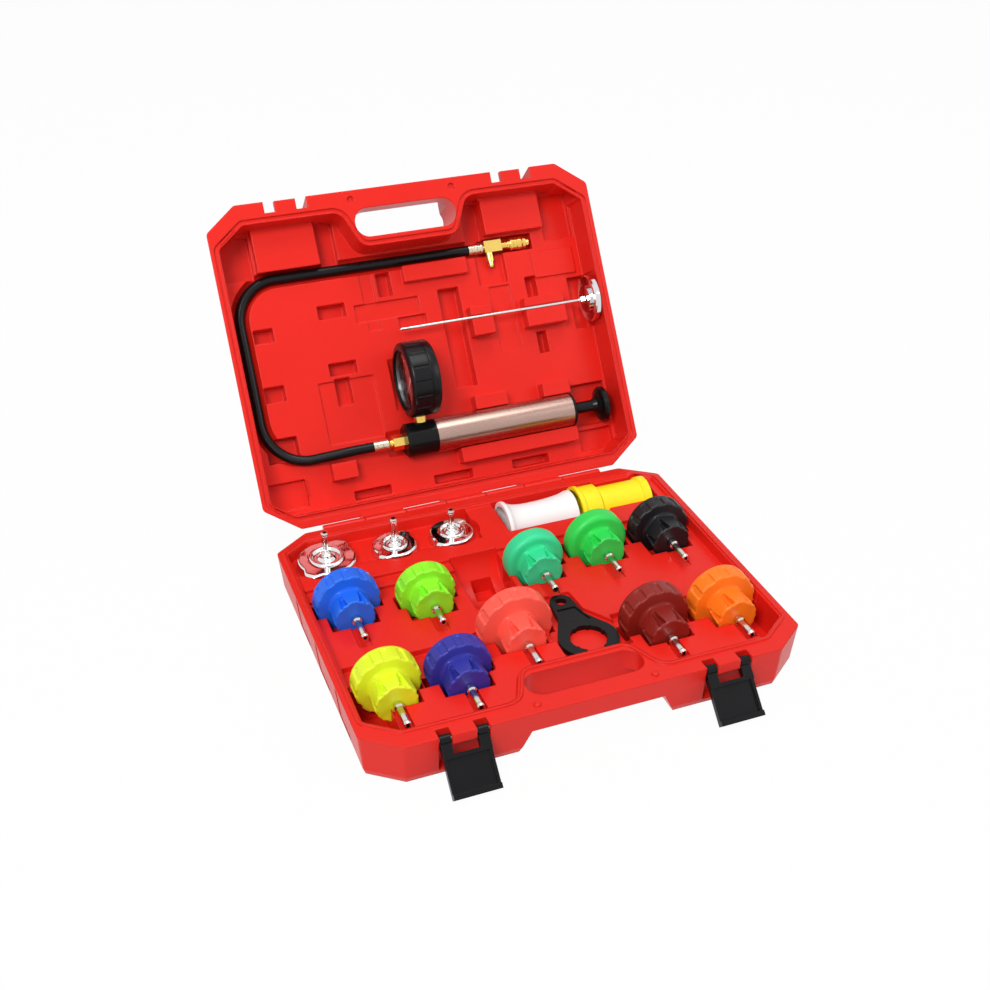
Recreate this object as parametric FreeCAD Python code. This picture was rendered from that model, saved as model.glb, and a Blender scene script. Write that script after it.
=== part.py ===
import FreeCAD, Part
import math
import os

os.makedirs("parts", exist_ok=True)

Vec = FreeCAD.Vector
ALONG_X = Vec(1, 0, 0)
ALONG_Y = Vec(0, 1, 0)
ALONG_Z = Vec(0, 0, 1)

# Radiator pressure tester kit, in millimetres.
# X runs to the right along the front of the case, Y to the back, Z up from the resting face.
# Everything kept in the lid is built with the lid closed, then turned open with it.

# Case: outline, depths and walls
CASE_HALF_WIDTH = 200.0
CASE_HALF_DEPTH = 160.2
FRONT_CHAMFER_X = 31.2
FRONT_CHAMFER_Y = 23.9
BACK_CHAMFER_X = 33.5
BACK_CHAMFER_Y = 24.3
OUTER_CORNER = 6.0
# The lid's front corners are pinched solid outside these distances
PINCH_X = 181.0
PINCH_Y = 38.2 - CASE_HALF_DEPTH
SHARPEST_CORNER = 0.8
BASE_DEPTH = 44.0
LID_DEPTH = 50.0
RIM_GAP = 0.4
CASE_WALL = 2.4
MOUTH_DRAFT = 1.5
WELL_DRAFT = 0.06
WELL_CORNER = 3.0

# Case mouth: the inner edge of both rims, with a dip behind the handle
MOUTH_HALF_WIDTH = CASE_HALF_WIDTH - 9.0
MOUTH_BACK = CASE_HALF_DEPTH - 13.2
MOUTH_FRONT = 20.2 - CASE_HALF_DEPTH
MOUTH_FRONT_CHAMFER_X = 27.0
MOUTH_FRONT_CHAMFER_Y = 20.5
MOUTH_BACK_CHAMFER_X = 21.5
MOUTH_BACK_CHAMFER_Y = 15.6
MOUTH_CORNER = 5.0
DIP_HALF_WIDTH = 66.0
DIP_BACK_HALF_WIDTH = 50.0
DIP_BACK = 57.2 - CASE_HALF_DEPTH
DIP_CORNER = 14.0

# Rim tongue on the base and groove in the lid
TONGUE_OFFSET = 1.8
TONGUE_WIDTH = 2.6
TONGUE_HEIGHT = 1.5
GROOVE_GAP = 0.6

# Handle
HANDLE_HALF_WIDTH = 53.0
HANDLE_FRONT = 19.2 - CASE_HALF_DEPTH
HANDLE_BACK = HANDLE_FRONT + 29.0
HANDLE_CORNER = 14.0
HANDLE_THICKNESS = 20.0
BASE_ARCH_HALF_WIDTH = 60.0
BASE_ARCH_SPREAD = 15.0
LID_ARCH_HALF_WIDTH = 50.0
LID_ARCH_SPREAD = 1.0
PEG_X = 53.0
PEG_Y = 9.2 - CASE_HALF_DEPTH
PEG_RADIUS = 3.0
PEG_HEIGHT = 2.4
PEG_GAP = 0.4

# Hinge
HINGE_Y = CASE_HALF_DEPTH + 5.4
HINGE_Z = 39.2
OPEN_ANGLE = 123.3
HINGE_PIN_RADIUS = 2.0
HINGE_TURNING_GAP = 0.06
KNUCKLE_RADIUS = 5.0
KNUCKLE_PITCH = 42.0
KNUCKLE_SIDE_GAP = 0.5
KNUCKLE_COUNT = 7
KNUCKLE_WEB_HEIGHT = 18.0
STOP_GAP = 0.4

# Latches
LATCH_X = 118.5
LATCH_WIDTH = 41.0
LATCH_PIVOT_Y = 4.2 - CASE_HALF_DEPTH
LATCH_PIVOT_DROP = 5.5
LATCH_PIN_RADIUS = 1.6
LATCH_PIN_HOLD = 1.7
LATCH_TURNING_GAP = 0.05
LATCH_ARM_INNER = 11.5
LATCH_PLATE_OFFSET = 3.2
LATCH_PLATE_THICKNESS = 2.5
LATCH_WINDOW = 12.9
LATCH_REACH = 48.4
LATCH_LIP = 4.6
LATCH_RIB = 2.4
LATCH_SWING = 135.0
LATCH_SIDE_GAP = 1.0
NOTCH_BACK = 11.2 - CASE_HALF_DEPTH
NOTCH_BASE_DEPTH = 36.0
NOTCH_LID_DEPTH = 30.0
TAB_HALF_WIDTH = 10.5
TAB_BASE_DEPTH = 9.5
TAB_LID_DEPTH = 6.8

# Tray levels below the base rim
BACK_LEDGE = 2.5
FRONT_LEDGE = 4.0
TERRACE = 6.0
TRAY = 9.5
TRENCH = 15.0
WRENCH_RECESS = 13.4
METAL_CAP_RECESS = 11.3
CORNER_WELL = 30.0
SIDE_GAP = 1.5
NEST_GAP = 0.3

# Lid levels above the lid rim, with the lid closed
LID_PLATEAU = 32.0
LID_BLOCK = 20.5
LID_PAD = 16.0
LID_WELL = 45.0

# Hand pump, kept along X in the lid: distance from the back edge, height above the lid rim
PUMP_FROM_BACK = 66.1
PUMP_HEIGHT = 20.0
BARREL_START = -11.0
BARREL_END = 138.0
BARREL_RADIUS = 17.5
BARREL_WALL = 1.5
HEAD_START = -43.0
HEAD_RADIUS = 17.2
HEAD_SPIGOT = 10.0
END_CAP_END = 141.5
ROD_RADIUS = 3.0
HANDLE_STEM_START = 145.0
HANDLE_STEM_RADIUS = 6.0
KNOB_START = 168.0
KNOB_END = 182.0
KNOB_RADIUS = 18.5
SLIDING_GAP = 0.08
PISTON_START = 3.0
PISTON_LENGTH = 10.0
PUMP_NUT_START = -56.0
PUMP_NUT_RADIUS = 8.0
LOWER_FERRULE_END = -76.0
PORT_RADIUS = 2.2
VALVE_RADIUS = 8.0
SEAL_DEPTH = 2.6

# Pressure gauge: a round boot that faces along -X
GAUGE_FROM_BACK = 125.0
GAUGE_HEIGHT = 3.0
BOOT_START = -37.0
BOOT_END = -6.5
BOOT_RADIUS = 38.0
BOOT_WALL = 4.0
BOOT_LIP = 2.5
GAUGE_STEM_X = -24.0
GAUGE_STEM_RADIUS = 4.5
STEM_DEPTH = 9.0
GAUGE_INNER_RADIUS = 32.0
DIAL_STEP = 9.0
GAUGE_NEEDLE_START = 151.0
LENS_THICKNESS = 1.6
DIAL_THICKNESS = 0.8
NEEDLE_THICKNESS = 0.8

# Hose, ferrules, tee and coupler
HOSE_RADIUS = 5.0
HOSE_BORE_RADIUS = 2.6
HOSE_HIGH_RUN = 34.2
CHANNEL_RADIUS = 9.5
FERRULE_RADIUS = 5.8
FERRULE_GAP = 0.05
FERRULE_LENGTH = 17.0
TOP_RUN_FROM_BACK = 250.0
TOP_FERRULE_START = 68.0
TEE_HALF = 6.0
TEE_LENGTH = 20.0
TEE_START = TOP_FERRULE_START + FERRULE_LENGTH
BRANCH_X = 90.5
BRANCH_RADIUS = 4.6
BRANCH_LENGTH = 9.0
VALVE_STEM_RADIUS = 3.2
VALVE_TRAVEL = 1.6
COUPLER_START = 104.0
COUPLER_RADIUS = 5.4

# Thermometer: stem along X, dial facing +X
THERMOMETER_FROM_BACK = 178.0
THERMOMETER_HEIGHT = 17.0
THERMOMETER_TIP = -26.0
THERMOMETER_STEM_RADIUS = 1.5
THERMOMETER_CASE_START = 179.5
THERMOMETER_CASE_END = 187.5
THERMOMETER_CASE_RADIUS = 24.5
THERMOMETER_NEEDLE_START = 45.0
LENS_SEAT = 22.9

# Moulded adapter caps: their common axis height, hub and nipple
ADAPTER_AXIS_DROP = 2.0
HUB_FRONT_RADIUS = 20.5
HUB_BACK_RADIUS = 18.5
CAP_WALL = 3.0
NIPPLE_RADIUS = 3.5
NIPPLE_ROOT_RADIUS = 4.3
NIPPLE_BORE_RADIUS = 1.7
NIPPLE_SEAT = 8.0

# Neck adapters and wrench
NECK_Y = 121.0
NECK_DROP = 14.5
NECK_FLANGE_RADIUS = 25.5
NECK_BODY_RADIUS = 21.5
NECK_BORE_RADIUS = 17.0
NECK_END_RADIUS = 23.0
YELLOW_NECK_LENGTH = 77.0
YELLOW_NECK_END_RADIUS = 22.0
WHITE_NECK_START = 23.0
YELLOW_NECK_START = 100.5
WRENCH_X = 26.5
WRENCH_Y = -76.0
WRENCH_RADIUS = 27.0
WRENCH_INNER_RADIUS = 17.0
WRENCH_THICKNESS = 5.0
WRENCH_END_X = 24.4
WRENCH_END_Y = -20.0
WRENCH_END_RADIUS = 10.5

# Cradles for the neck adapters: x from, x to, radius held
NECK_CRADLES = [(20.0, 128.0, NECK_FLANGE_RADIUS), (127.0, 182.5, NECK_END_RADIUS)]

# Adapter caps: name, x, front of hub, ring radius, ring width, hub length, nipple length, flutes
ADAPTERS = [
    ("blue_adapter", -157.5, 14.5, 30.0, 17.0, 22.0, 29.0, 12),
    ("lime_adapter", -87.0, 5.0, 27.0, 16.0, 20.0, 23.0, 12),
    ("mint_adapter", 24.0, 17.0, 28.5, 16.0, 20.0, 26.0, 0),
    ("green_adapter", 91.0, 24.0, 30.0, 16.0, 20.0, 27.0, 0),
    ("black_adapter", 157.0, 20.0, 29.5, 16.0, 24.0, 28.0, 12),
    ("citron_adapter", -157.5, -107.5, 29.0, 18.0, 24.0, 27.0, 12),
    ("navy_adapter", -95.5, -109.5, 28.5, 17.0, 22.0, 26.0, 12),
    ("coral_adapter", -30.0, -74.5, 34.0, 17.0, 24.0, 26.0, 12),
    ("maroon_adapter", 89.5, -110.0, 31.0, 18.0, 26.0, 23.0, 12),
    ("orange_adapter", 156.5, -107.5, 30.5, 18.0, 24.0, 24.0, 12),
]

# Metal radiator caps: sheet, boss and the ears as shares of the plate's radius
NIPPLE_SHANK = 3.0
SHEET = 1.2
BOSS_HEIGHT = 1.4
COLLAR_THICKNESS = 2.0
EAR_TURN = 47.0
EAR_REACH = 1.04
EAR_TIP = 0.2
EAR_ROOT = 0.62

# Metal radiator caps: name, x, y, plate radius, skirt height, nipple top above the rim
METAL_CAPS = [
    ("large_cap", -157.0, 117.0, 28.0, 9.0, 26.0),
    ("medium_cap", -90.0, 117.5, 21.5, 8.0, 25.5),
    ("small_cap", -32.0, 118.0, 22.0, 8.0, 21.0),
]

# Pockets deeper than the lid's main level: x from, x to, distance from back from, to, height
LID_WELLS = [
    (-104.0, -71.0, 200.0, 218.0, LID_WELL), (-172.0, -148.0, 186.0, 204.0, LID_WELL),
    (-104.0, -71.0, 142.0, 159.0, LID_WELL), (-101.0, -81.0, 111.0, 143.0, LID_WELL),
    (-173.0, -148.0, 126.0, 146.0, LID_WELL), (-182.0, -146.0, 66.0, 94.0, LID_WELL),
    (-38.0, -19.0, 213.5, 242.0, LID_WELL), (-23.0, 11.0, 176.0, 194.0, 36.0),
    (24.0, 51.0, 108.0, 216.0, LID_WELL), (121.0, 137.0, 189.0, 215.0, LID_WELL),
    (122.0, 137.0, 129.0, 156.0, LID_WELL), (-104.0, -61.0, 15.0, 28.0, LID_WELL),
    (-19.0, 27.0, 15.0, 28.0, LID_WELL), (67.0, 112.0, 15.0, 28.0, LID_WELL),
    (146.0, 189.0, 45.0, 93.0, 40.5), (64.5, 88.0, 240.0, 299.0, 40.0),
    (152.0, 188.5, 246.0, 297.0, 38.0), (-90.0, -68.0, 251.0, 300.0, 40.0),
    (-188.5, -155.0, 250.0, 297.0, 38.0), (-188.0, -146.5, 18.0, 50.0, 38.0),
    (146.5, 188.0, 18.0, 44.0, 38.0), (-118.0, -56.0, 74.0, 141.0, 34.0),
    (-55.0, -38.0, 181.0, 243.0, 34.0), (-66.0, 6.0, 191.0, 213.0, 35.0),
    (80.0, 107.0, 136.0, 210.0, 33.5), (71.0, 107.0, 209.0, 246.0, 39.0),
    (78.0, 141.0, 239.6, 260.6, 43.0),
]

# Raised blocks and pads on the lid's main level: x from, x to, distance from back from, to, height
LID_BLOCKS = [
    (-154.5, -91.5, 256.0, 310.0, LID_BLOCK), (84.0, 150.5, 261.0, 310.0, LID_BLOCK),
    (-8.0, 61.0, 226.0, 243.0, 24.0), (134.6, 181.6, 210.0, 238.0, 30.0),
    (-122.0, -97.0, 40.0, 57.5, LID_PAD), (13.0, 142.0, 33.0, 48.2, LID_PAD),
    (38.0, 73.0, 84.0, 98.0, LID_PAD), (113.0, 143.0, 84.0, 98.0, LID_PAD),
    (52.0, 75.0, 179.8, 189.0, LID_PAD), (52.0, 75.0, 159.0, 176.2, LID_PAD),
    (112.0, 156.0, 179.8, 189.0, LID_PAD), (112.0, 156.0, 159.0, 176.2, LID_PAD),
    (-162.0, -147.0, 31.0, 47.0, 30.0),
]

# Hose route in the lid: x, distance from back, height above the lid rim, bend radius
HOSE_ROUTE = [
    (LOWER_FERRULE_END + 14.0, PUMP_FROM_BACK, PUMP_HEIGHT, 0.0),
    (-100.0, PUMP_FROM_BACK, PUMP_HEIGHT, 60.0),
    (-180.5, 64.0, HOSE_HIGH_RUN, 44.0),
    (-180.5, TOP_RUN_FROM_BACK, HOSE_HIGH_RUN, 42.0),
    (TOP_FERRULE_START + 14.0, TOP_RUN_FROM_BACK, HOSE_HIGH_RUN, 0.0),
]

LID_RIM = BASE_DEPTH + RIM_GAP
OVERCUT = 1.0
# Fit between pieces that are pressed or screwed together, taken off the radius
FIT = 0.03


def save(shape, name):
    """Writes one sub-part to its own STEP file."""
    shape.exportStep("parts/" + name + ".step")


def box(x0, x1, y0, y1, z0, z1):
    """A block between two corners."""
    return Part.makeBox(x1 - x0, y1 - y0, z1 - z0, Vec(x0, y0, z0))


def rod(start, axis, radius, length):
    """A solid round bar from a start point along an axis."""
    return Part.makeCylinder(radius, length, start, axis)


def tube(start, axis, outer, inner, length):
    """A round bar with a hole along it."""
    return rod(start, axis, outer, length).cut(rod(start, axis, inner, length))


def turned(profile, start, axis):
    """A solid of revolution: profile corners are (distance along the axis, radius)."""
    corners = [Vec(radius, 0, along) for along, radius in profile]
    face = Part.Face(Part.makePolygon(corners + corners[:1]))
    solid = face.revolve(Vec(0, 0, 0), ALONG_Z, 360)
    solid.Placement = FreeCAD.Placement(start, FreeCAD.Rotation(ALONG_Z, axis))
    return solid


def prism(corners, direction):
    """A straight block with the given outline."""
    return Part.Face(Part.makePolygon(corners + corners[:1])).extrude(direction)


def inset_outline(outline, inset):
    """The outline moved inward by the same distance on every edge; corners are (x, y, radius)."""
    moved = []
    count = len(outline)
    for index, (x, y, radius) in enumerate(outline):
        last_x, last_y, _ = outline[index - 1]
        next_x, next_y, _ = outline[(index + 1) % count]
        before = Vec(x - last_x, y - last_y, 0).normalize()
        after = Vec(next_x - x, next_y - y, 0).normalize()
        inward_before = Vec(-before.y, before.x, 0)
        inward_after = Vec(-after.y, after.x, 0)
        step = (inward_before + inward_after) * (inset / (1 + inward_before.dot(inward_after)))
        turns_left = before.x * after.y - before.y * after.x > 0
        new_radius = radius - inset if turns_left else radius + inset
        moved.append((x + step.x, y + step.y, max(new_radius, SHARPEST_CORNER)))
    return moved


def rounded_wire(outline, z):
    """A closed outline at one height with its corners rounded."""
    edges = []
    first_start = None
    last_end = None
    count = len(outline)
    for index, (x, y, radius) in enumerate(outline):
        last_x, last_y, _ = outline[index - 1]
        next_x, next_y, _ = outline[(index + 1) % count]
        before = Vec(x - last_x, y - last_y, 0).normalize()
        after = Vec(next_x - x, next_y - y, 0).normalize()
        half_turn = before.getAngle(after) / 2
        setback = radius * math.tan(half_turn)
        corner = Vec(x, y, z)
        start = corner - before * setback
        end = corner + after * setback
        to_middle = (after - before).normalize() * (radius / math.cos(half_turn) - radius)
        if last_end:
            edges.append(Part.LineSegment(last_end, start).toShape())
        else:
            first_start = start
        edges.append(Part.Arc(start, corner + to_middle, end).toShape())
        last_end = end
    edges.append(Part.LineSegment(last_end, first_start).toShape())
    return Part.Wire(edges)


def layered(outline, layers):
    """A solid through the outline at several (height, inset) layers."""
    wires = [rounded_wire(inset_outline(outline, inset), height) for height, inset in layers]
    return Part.makeLoft(wires, True, True)


def rectangle(x0, x1, y0, y1, radius):
    """Corners of a rounded rectangle."""
    return [(x0, y0, radius), (x1, y0, radius), (x1, y1, radius), (x0, y1, radius)]


def case_outline():
    """Outline of both rims: a rectangle with four cut corners."""
    w = CASE_HALF_WIDTH
    d = CASE_HALF_DEPTH
    r = OUTER_CORNER
    return [
        (-w + FRONT_CHAMFER_X, -d, r), (w - FRONT_CHAMFER_X, -d, r),
        (w, -d + FRONT_CHAMFER_Y, r), (w, d - BACK_CHAMFER_Y, r),
        (w - BACK_CHAMFER_X, d, r), (-w + BACK_CHAMFER_X, d, r),
        (-w, d - BACK_CHAMFER_Y, r), (-w, -d + FRONT_CHAMFER_Y, r),
    ]


def mouth_outline():
    """Outline of the open inside of both halves, with the dip behind the handle."""
    w = MOUTH_HALF_WIDTH
    r = MOUTH_CORNER
    front_x = w - MOUTH_FRONT_CHAMFER_X
    front_y = MOUTH_FRONT + MOUTH_FRONT_CHAMFER_Y
    back_x = w - MOUTH_BACK_CHAMFER_X
    back_y = MOUTH_BACK - MOUTH_BACK_CHAMFER_Y
    return [
        (-front_x, MOUTH_FRONT, r),
        (-DIP_HALF_WIDTH, MOUTH_FRONT, DIP_CORNER), (-DIP_BACK_HALF_WIDTH, DIP_BACK, DIP_CORNER),
        (DIP_BACK_HALF_WIDTH, DIP_BACK, DIP_CORNER), (DIP_HALF_WIDTH, MOUTH_FRONT, DIP_CORNER),
        (front_x, MOUTH_FRONT, r), (w, front_y, r), (w, back_y, r),
        (back_x, MOUTH_BACK, r), (-back_x, MOUTH_BACK, r), (-w, back_y, r), (-w, front_y, r),
    ]


def handle_outline():
    """Outline of the hand slot."""
    return rectangle(-HANDLE_HALF_WIDTH, HANDLE_HALF_WIDTH, HANDLE_FRONT, HANDLE_BACK, HANDLE_CORNER)


def mouth_to(depth, grow):
    """The mouth's space down to a depth below the base rim, widened by grow."""
    floor = BASE_DEPTH - depth
    layers = [(floor - grow, MOUTH_DRAFT - grow), (BASE_DEPTH + OVERCUT + grow, -grow)]
    return layered(mouth_outline(), layers)


def base_well(x0, x1, y0, y1, depth, grow):
    """A pocket in the base tray, drafted so that it narrows downward."""
    outline = rectangle(x0, x1, y0, y1, WELL_CORNER)
    floor = BASE_DEPTH - depth
    layers = [(floor - grow, depth * WELL_DRAFT - grow), (BASE_DEPTH + OVERCUT, -grow)]
    return layered(outline, layers)


def base_blank(inset):
    """The outside of the base half, moved inward by inset."""
    layers = [
        (inset, 9.0 + inset), (2.5 + inset * 0.5, 5.5 + inset),
        (8.0, 3.5 + inset), (BASE_DEPTH - inset, inset),
    ]
    return layered(case_outline(), layers)


def adapter_space(x, front, ring_radius, ring_width, hub_length, nipple_length, floor_level, grow):
    """The nest of one adapter cap: a pocket for its ring, one for its hub and a groove."""
    ring_front = front + hub_length
    side = ring_radius + SIDE_GAP
    ring_depth = ADAPTER_AXIS_DROP + ring_radius + NEST_GAP
    hub_side = HUB_FRONT_RADIUS + SIDE_GAP
    hub_depth = ADAPTER_AXIS_DROP + HUB_FRONT_RADIUS + NEST_GAP
    ring_back = ring_front + ring_width + SIDE_GAP
    groove_side = NIPPLE_ROOT_RADIUS + SIDE_GAP
    groove_front = front - nipple_length - SIDE_GAP
    top = BASE_DEPTH + OVERCUT
    return [
        box(x - side - grow, x + side + grow, ring_front - SIDE_GAP - grow, ring_back + grow,
            BASE_DEPTH - ring_depth - grow, top),
        box(x - hub_side - grow, x + hub_side + grow, front - SIDE_GAP - grow, ring_front + grow,
            BASE_DEPTH - hub_depth - grow, top),
        box(x - groove_side - grow, x + groove_side + grow, groove_front - grow, front + grow,
            BASE_DEPTH - floor_level - SIDE_GAP * 2 - grow, top),
    ]


def neck_point(x):
    """A point on the neck adapters' common axis."""
    return Vec(x, NECK_Y, BASE_DEPTH - NECK_DROP)


def base_spaces(grow):
    """All the hollows of the tray, each widened by grow."""
    edge = MOUTH_HALF_WIDTH + OVERCUT
    top = BASE_DEPTH + OVERCUT * 2
    tray = mouth_to(TRAY, grow)
    spaces = [mouth_to(BACK_LEDGE, grow)]

    front = mouth_to(FRONT_LEDGE, grow).common(box(-edge, edge, -edge, 71.5 + grow, 0, top))
    terrace = mouth_to(TERRACE, grow).common(box(-edge, edge, -76.0, 71.5 + grow, 0, top))
    floor = tray.common(box(-edge, edge, -76.0 - grow, 58.0 + grow, 0, top))
    left = tray.common(box(-edge, -72.0 + grow, -93.5 - grow, -75.0, 0, top))
    right = tray.common(box(50.0 - grow, edge, -93.5 - grow, -75.0, 0, top))
    spaces += [front, terrace, floor, left, right]

    metal = mouth_to(METAL_CAP_RECESS, grow)
    spaces.append(metal.common(box(-edge, -8.0 + grow, 95.5 - grow, edge, 0, top)))
    for _, x, y, radius, _, _ in METAL_CAPS:
        reach = radius * (EAR_REACH + EAR_TIP) + NEST_GAP
        spaces.append(metal.common(rod(Vec(x, y, 0), ALONG_Z, reach + grow, top)))
    deep = mouth_to(CORNER_WELL, grow)
    spaces.append(deep.common(box(-edge, -164.0 + grow, -edge, -84.0 + grow, 0, top)))
    spaces.append(deep.common(box(163.0 - grow, edge, -edge, -84.0 + grow, 0, top)))
    spaces.append(base_well(-187.0, -66.0, -93.0, -37.0, TRENCH, grow))
    spaces.append(base_well(56.5, 188.0, -93.0, -51.0, TRENCH, grow))

    gauge_y = CASE_HALF_DEPTH - GAUGE_FROM_BACK
    gauge_z = LID_RIM + GAUGE_HEIGHT
    spaces.append(rod(Vec(-50.0 - grow, gauge_y, gauge_z), ALONG_X, BOOT_RADIUS + SIDE_GAP + grow,
                      47.0 + grow * 2))
    spaces.append(box(-33.0 - grow, -13.0 + grow, 42.0 - grow, 62.0 + grow,
                      CASE_WALL + 0.2 - grow, BASE_DEPTH))

    for x0, x1, radius in NECK_CRADLES:
        side = radius + NEST_GAP + grow
        spaces.append(rod(neck_point(x0 - grow), ALONG_X, side, x1 - x0 + grow * 2))
        spaces.append(box(x0 - grow, x1 + grow, NECK_Y - side, NECK_Y + side, BASE_DEPTH - NECK_DROP, top))

    wrench_floor = BASE_DEPTH - WRENCH_RECESS - grow
    left_x = -4.5 - grow
    right_x = 57.5 + grow
    corners = [
        (left_x, -101.5 - grow), (right_x, -101.5 - grow), (right_x, -60.0), (40.0 + grow, -34.0),
        (37.5 + grow, -6.0 + grow), (11.5 - grow, -6.0 + grow), (9.0 - grow, -34.0), (left_x, -60.0),
    ]
    wrench_corners = [Vec(x, y, wrench_floor) for x, y in corners]
    spaces.append(prism(wrench_corners, Vec(0, 0, BASE_DEPTH + OVERCUT - wrench_floor)))

    for _, x, hub_front, ring_radius, ring_width, hub_length, nipple_length, _ in ADAPTERS:
        level = FRONT_LEDGE if hub_front < -50 else TRAY - SIDE_GAP
        spaces += adapter_space(x, hub_front, ring_radius, ring_width, hub_length, nipple_length,
                                level, grow)
    return spaces


def handle_arch(grow, rim, away, half_width, spread):
    """The space behind the handle bar: rim is the rim's height, away points from it to the outside."""
    near = rim + away * (HANDLE_THICKNESS - grow)
    far = rim + away * (max(BASE_DEPTH, LID_DEPTH) + OVERCUT)
    top = half_width + grow
    wide = top + spread
    front = -CASE_HALF_DEPTH - 10
    corners = [Vec(-top, front, near), Vec(top, front, near), Vec(wide, front, far), Vec(-wide, front, far)]
    return prism(corners, Vec(0, HANDLE_BACK + grow - front, 0))


def base_arch(grow):
    """The space under the base's handle bar."""
    return handle_arch(grow, BASE_DEPTH, -1, BASE_ARCH_HALF_WIDTH, BASE_ARCH_SPREAD)


def lid_arch(grow):
    """The space over the lid's handle bar."""
    return handle_arch(grow, LID_RIM, 1, LID_ARCH_HALF_WIDTH, LID_ARCH_SPREAD)


def handle_slot(grow):
    """The hand slot through both halves."""
    height = BASE_DEPTH + LID_DEPTH + OVERCUT * 2
    return layered(handle_outline(), [(-OVERCUT, -grow), (height, -grow)])


def rim_band(inner_offset, width, z0, z1):
    """A band that follows the mouth outside its edge."""
    outer = layered(mouth_outline(), [(z0, -inner_offset - width), (z1, -inner_offset - width)])
    return outer.cut(layered(mouth_outline(), [(z0, -inner_offset), (z1, -inner_offset)]))


def side_bands(z0, z1, lean):
    """Three shallow upright recesses on each side wall; lean follows the wall's draft."""
    bands = []
    for side in (-1, 1):
        for y0 in (-100.0, -34.0, 32.0):
            depth = 0.9
            x_rim = side * (CASE_HALF_WIDTH - depth)
            x_far = side * (CASE_HALF_WIDTH - depth - lean)
            out = side * (CASE_HALF_WIDTH + 5)
            corners = [Vec(x_rim, y0, z0), Vec(out, y0, z0), Vec(out, y0, z1), Vec(x_far, y0, z1)]
            bands.append(prism(corners, Vec(0, 33.0, 0)))
    return bands


def latch_notch(side, z0, z1, grow):
    """The notch behind one latch."""
    half = LATCH_WIDTH / 2 + LATCH_SIDE_GAP + grow
    centre = side * LATCH_X
    return box(centre - half, centre + half, -CASE_HALF_DEPTH - 10, NOTCH_BACK + grow, z0, z1)


def hinge_end(index):
    """Left and right end of one hinge knuckle."""
    left = (index - KNUCKLE_COUNT / 2) * KNUCKLE_PITCH
    return left + KNUCKLE_SIDE_GAP / 2, left + KNUCKLE_PITCH - KNUCKLE_SIDE_GAP / 2


def hinge_knuckles(numbers, hole_radius, web_low, web_high, wall_y):
    """Hinge knuckles with the webs that hold them to a case half."""
    knuckles = []
    for index in numbers:
        left, right = hinge_end(index)
        eye = rod(Vec(left, HINGE_Y, HINGE_Z), ALONG_X, KNUCKLE_RADIUS, right - left)
        web = box(left, right, wall_y, HINGE_Y + (KNUCKLE_RADIUS if web_high > LID_RIM else 0),
                  web_low, web_high)
        hole = rod(Vec(left - 1, HINGE_Y, HINGE_Z), ALONG_X, hole_radius, right - left + 2)
        knuckles.append(eye.fuse(web).cut(hole))
    return knuckles


def stop_lug(index):
    """A sloped lug on the back of the base that the lid's webs rest on when open."""
    left, right = hinge_end(index)
    turn = math.radians(OPEN_ANGLE)
    reach = KNUCKLE_RADIUS + STOP_GAP
    inner_y = -(HINGE_Y - CASE_HALF_DEPTH) - 2.0
    outer_y = KNUCKLE_RADIUS
    corners = [
        Vec(left + 6, HINGE_Y + y, HINGE_Z - (reach - y * math.cos(turn)) / math.sin(turn))
        for y in (inner_y, outer_y)
    ]
    corners.append(Vec(left + 6, HINGE_Y + inner_y, HINGE_Z - 24))
    return prism(corners, Vec(right - left - 12, 0, 0))


def peg_points():
    """Places of the two locating pegs."""
    return [(-PEG_X, PEG_Y), (PEG_X, PEG_Y)]


def make_base():
    """Lower half of the case: a double wall with the tray pressed into it."""
    body = base_blank(0)
    core = base_blank(CASE_WALL)
    cut_away = base_spaces(0) + side_bands(BASE_DEPTH - 3, 8.0, 3.2)
    cut_away += [handle_slot(0), base_arch(0)]
    notch_floor = BASE_DEPTH - NOTCH_BASE_DEPTH
    keep_out = base_spaces(CASE_WALL) + [handle_slot(CASE_WALL), base_arch(CASE_WALL)]
    for side in (-1, 1):
        cut_away.append(latch_notch(side, notch_floor, BASE_DEPTH + OVERCUT, 0))
        keep_out.append(latch_notch(side, notch_floor - CASE_WALL, BASE_DEPTH + OVERCUT, CASE_WALL))
    hollow = core.cut(keep_out)
    rooms = [room for room in hollow.Solids if room.Volume > 2000]
    body = body.cut(cut_away).cut(rooms)

    additions = [rim_band(TONGUE_OFFSET, TONGUE_WIDTH, BASE_DEPTH - 0.5, BASE_DEPTH + TONGUE_HEIGHT)]
    for x, y in peg_points():
        peg = turned([(-0.5, 0), (-0.5, PEG_RADIUS), (PEG_HEIGHT - 0.8, PEG_RADIUS),
                      (PEG_HEIGHT, PEG_RADIUS - 0.8), (PEG_HEIGHT, 0)], Vec(x, y, BASE_DEPTH), ALONG_Z)
        additions.append(peg)
    for side in (-1, 1):
        centre = side * LATCH_X
        additions.append(box(centre - TAB_HALF_WIDTH, centre + TAB_HALF_WIDTH, -CASE_HALF_DEPTH,
                             NOTCH_BACK + 0.5, BASE_DEPTH - TAB_BASE_DEPTH, BASE_DEPTH))
    numbers = range(0, KNUCKLE_COUNT, 2)
    low = HINGE_Z - KNUCKLE_RADIUS
    additions += hinge_knuckles(numbers, HINGE_PIN_RADIUS, low, HINGE_Z + 4, CASE_HALF_DEPTH - 2.5)
    additions += [stop_lug(1), stop_lug(KNUCKLE_COUNT - 2)]
    body = body.fuse(additions)

    bores = []
    for side in (-1, 1):
        start, length = latch_pin_run(side)
        bores.append(rod(start, ALONG_X, LATCH_PIN_RADIUS, length))
    return body.cut(bores)


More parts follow.
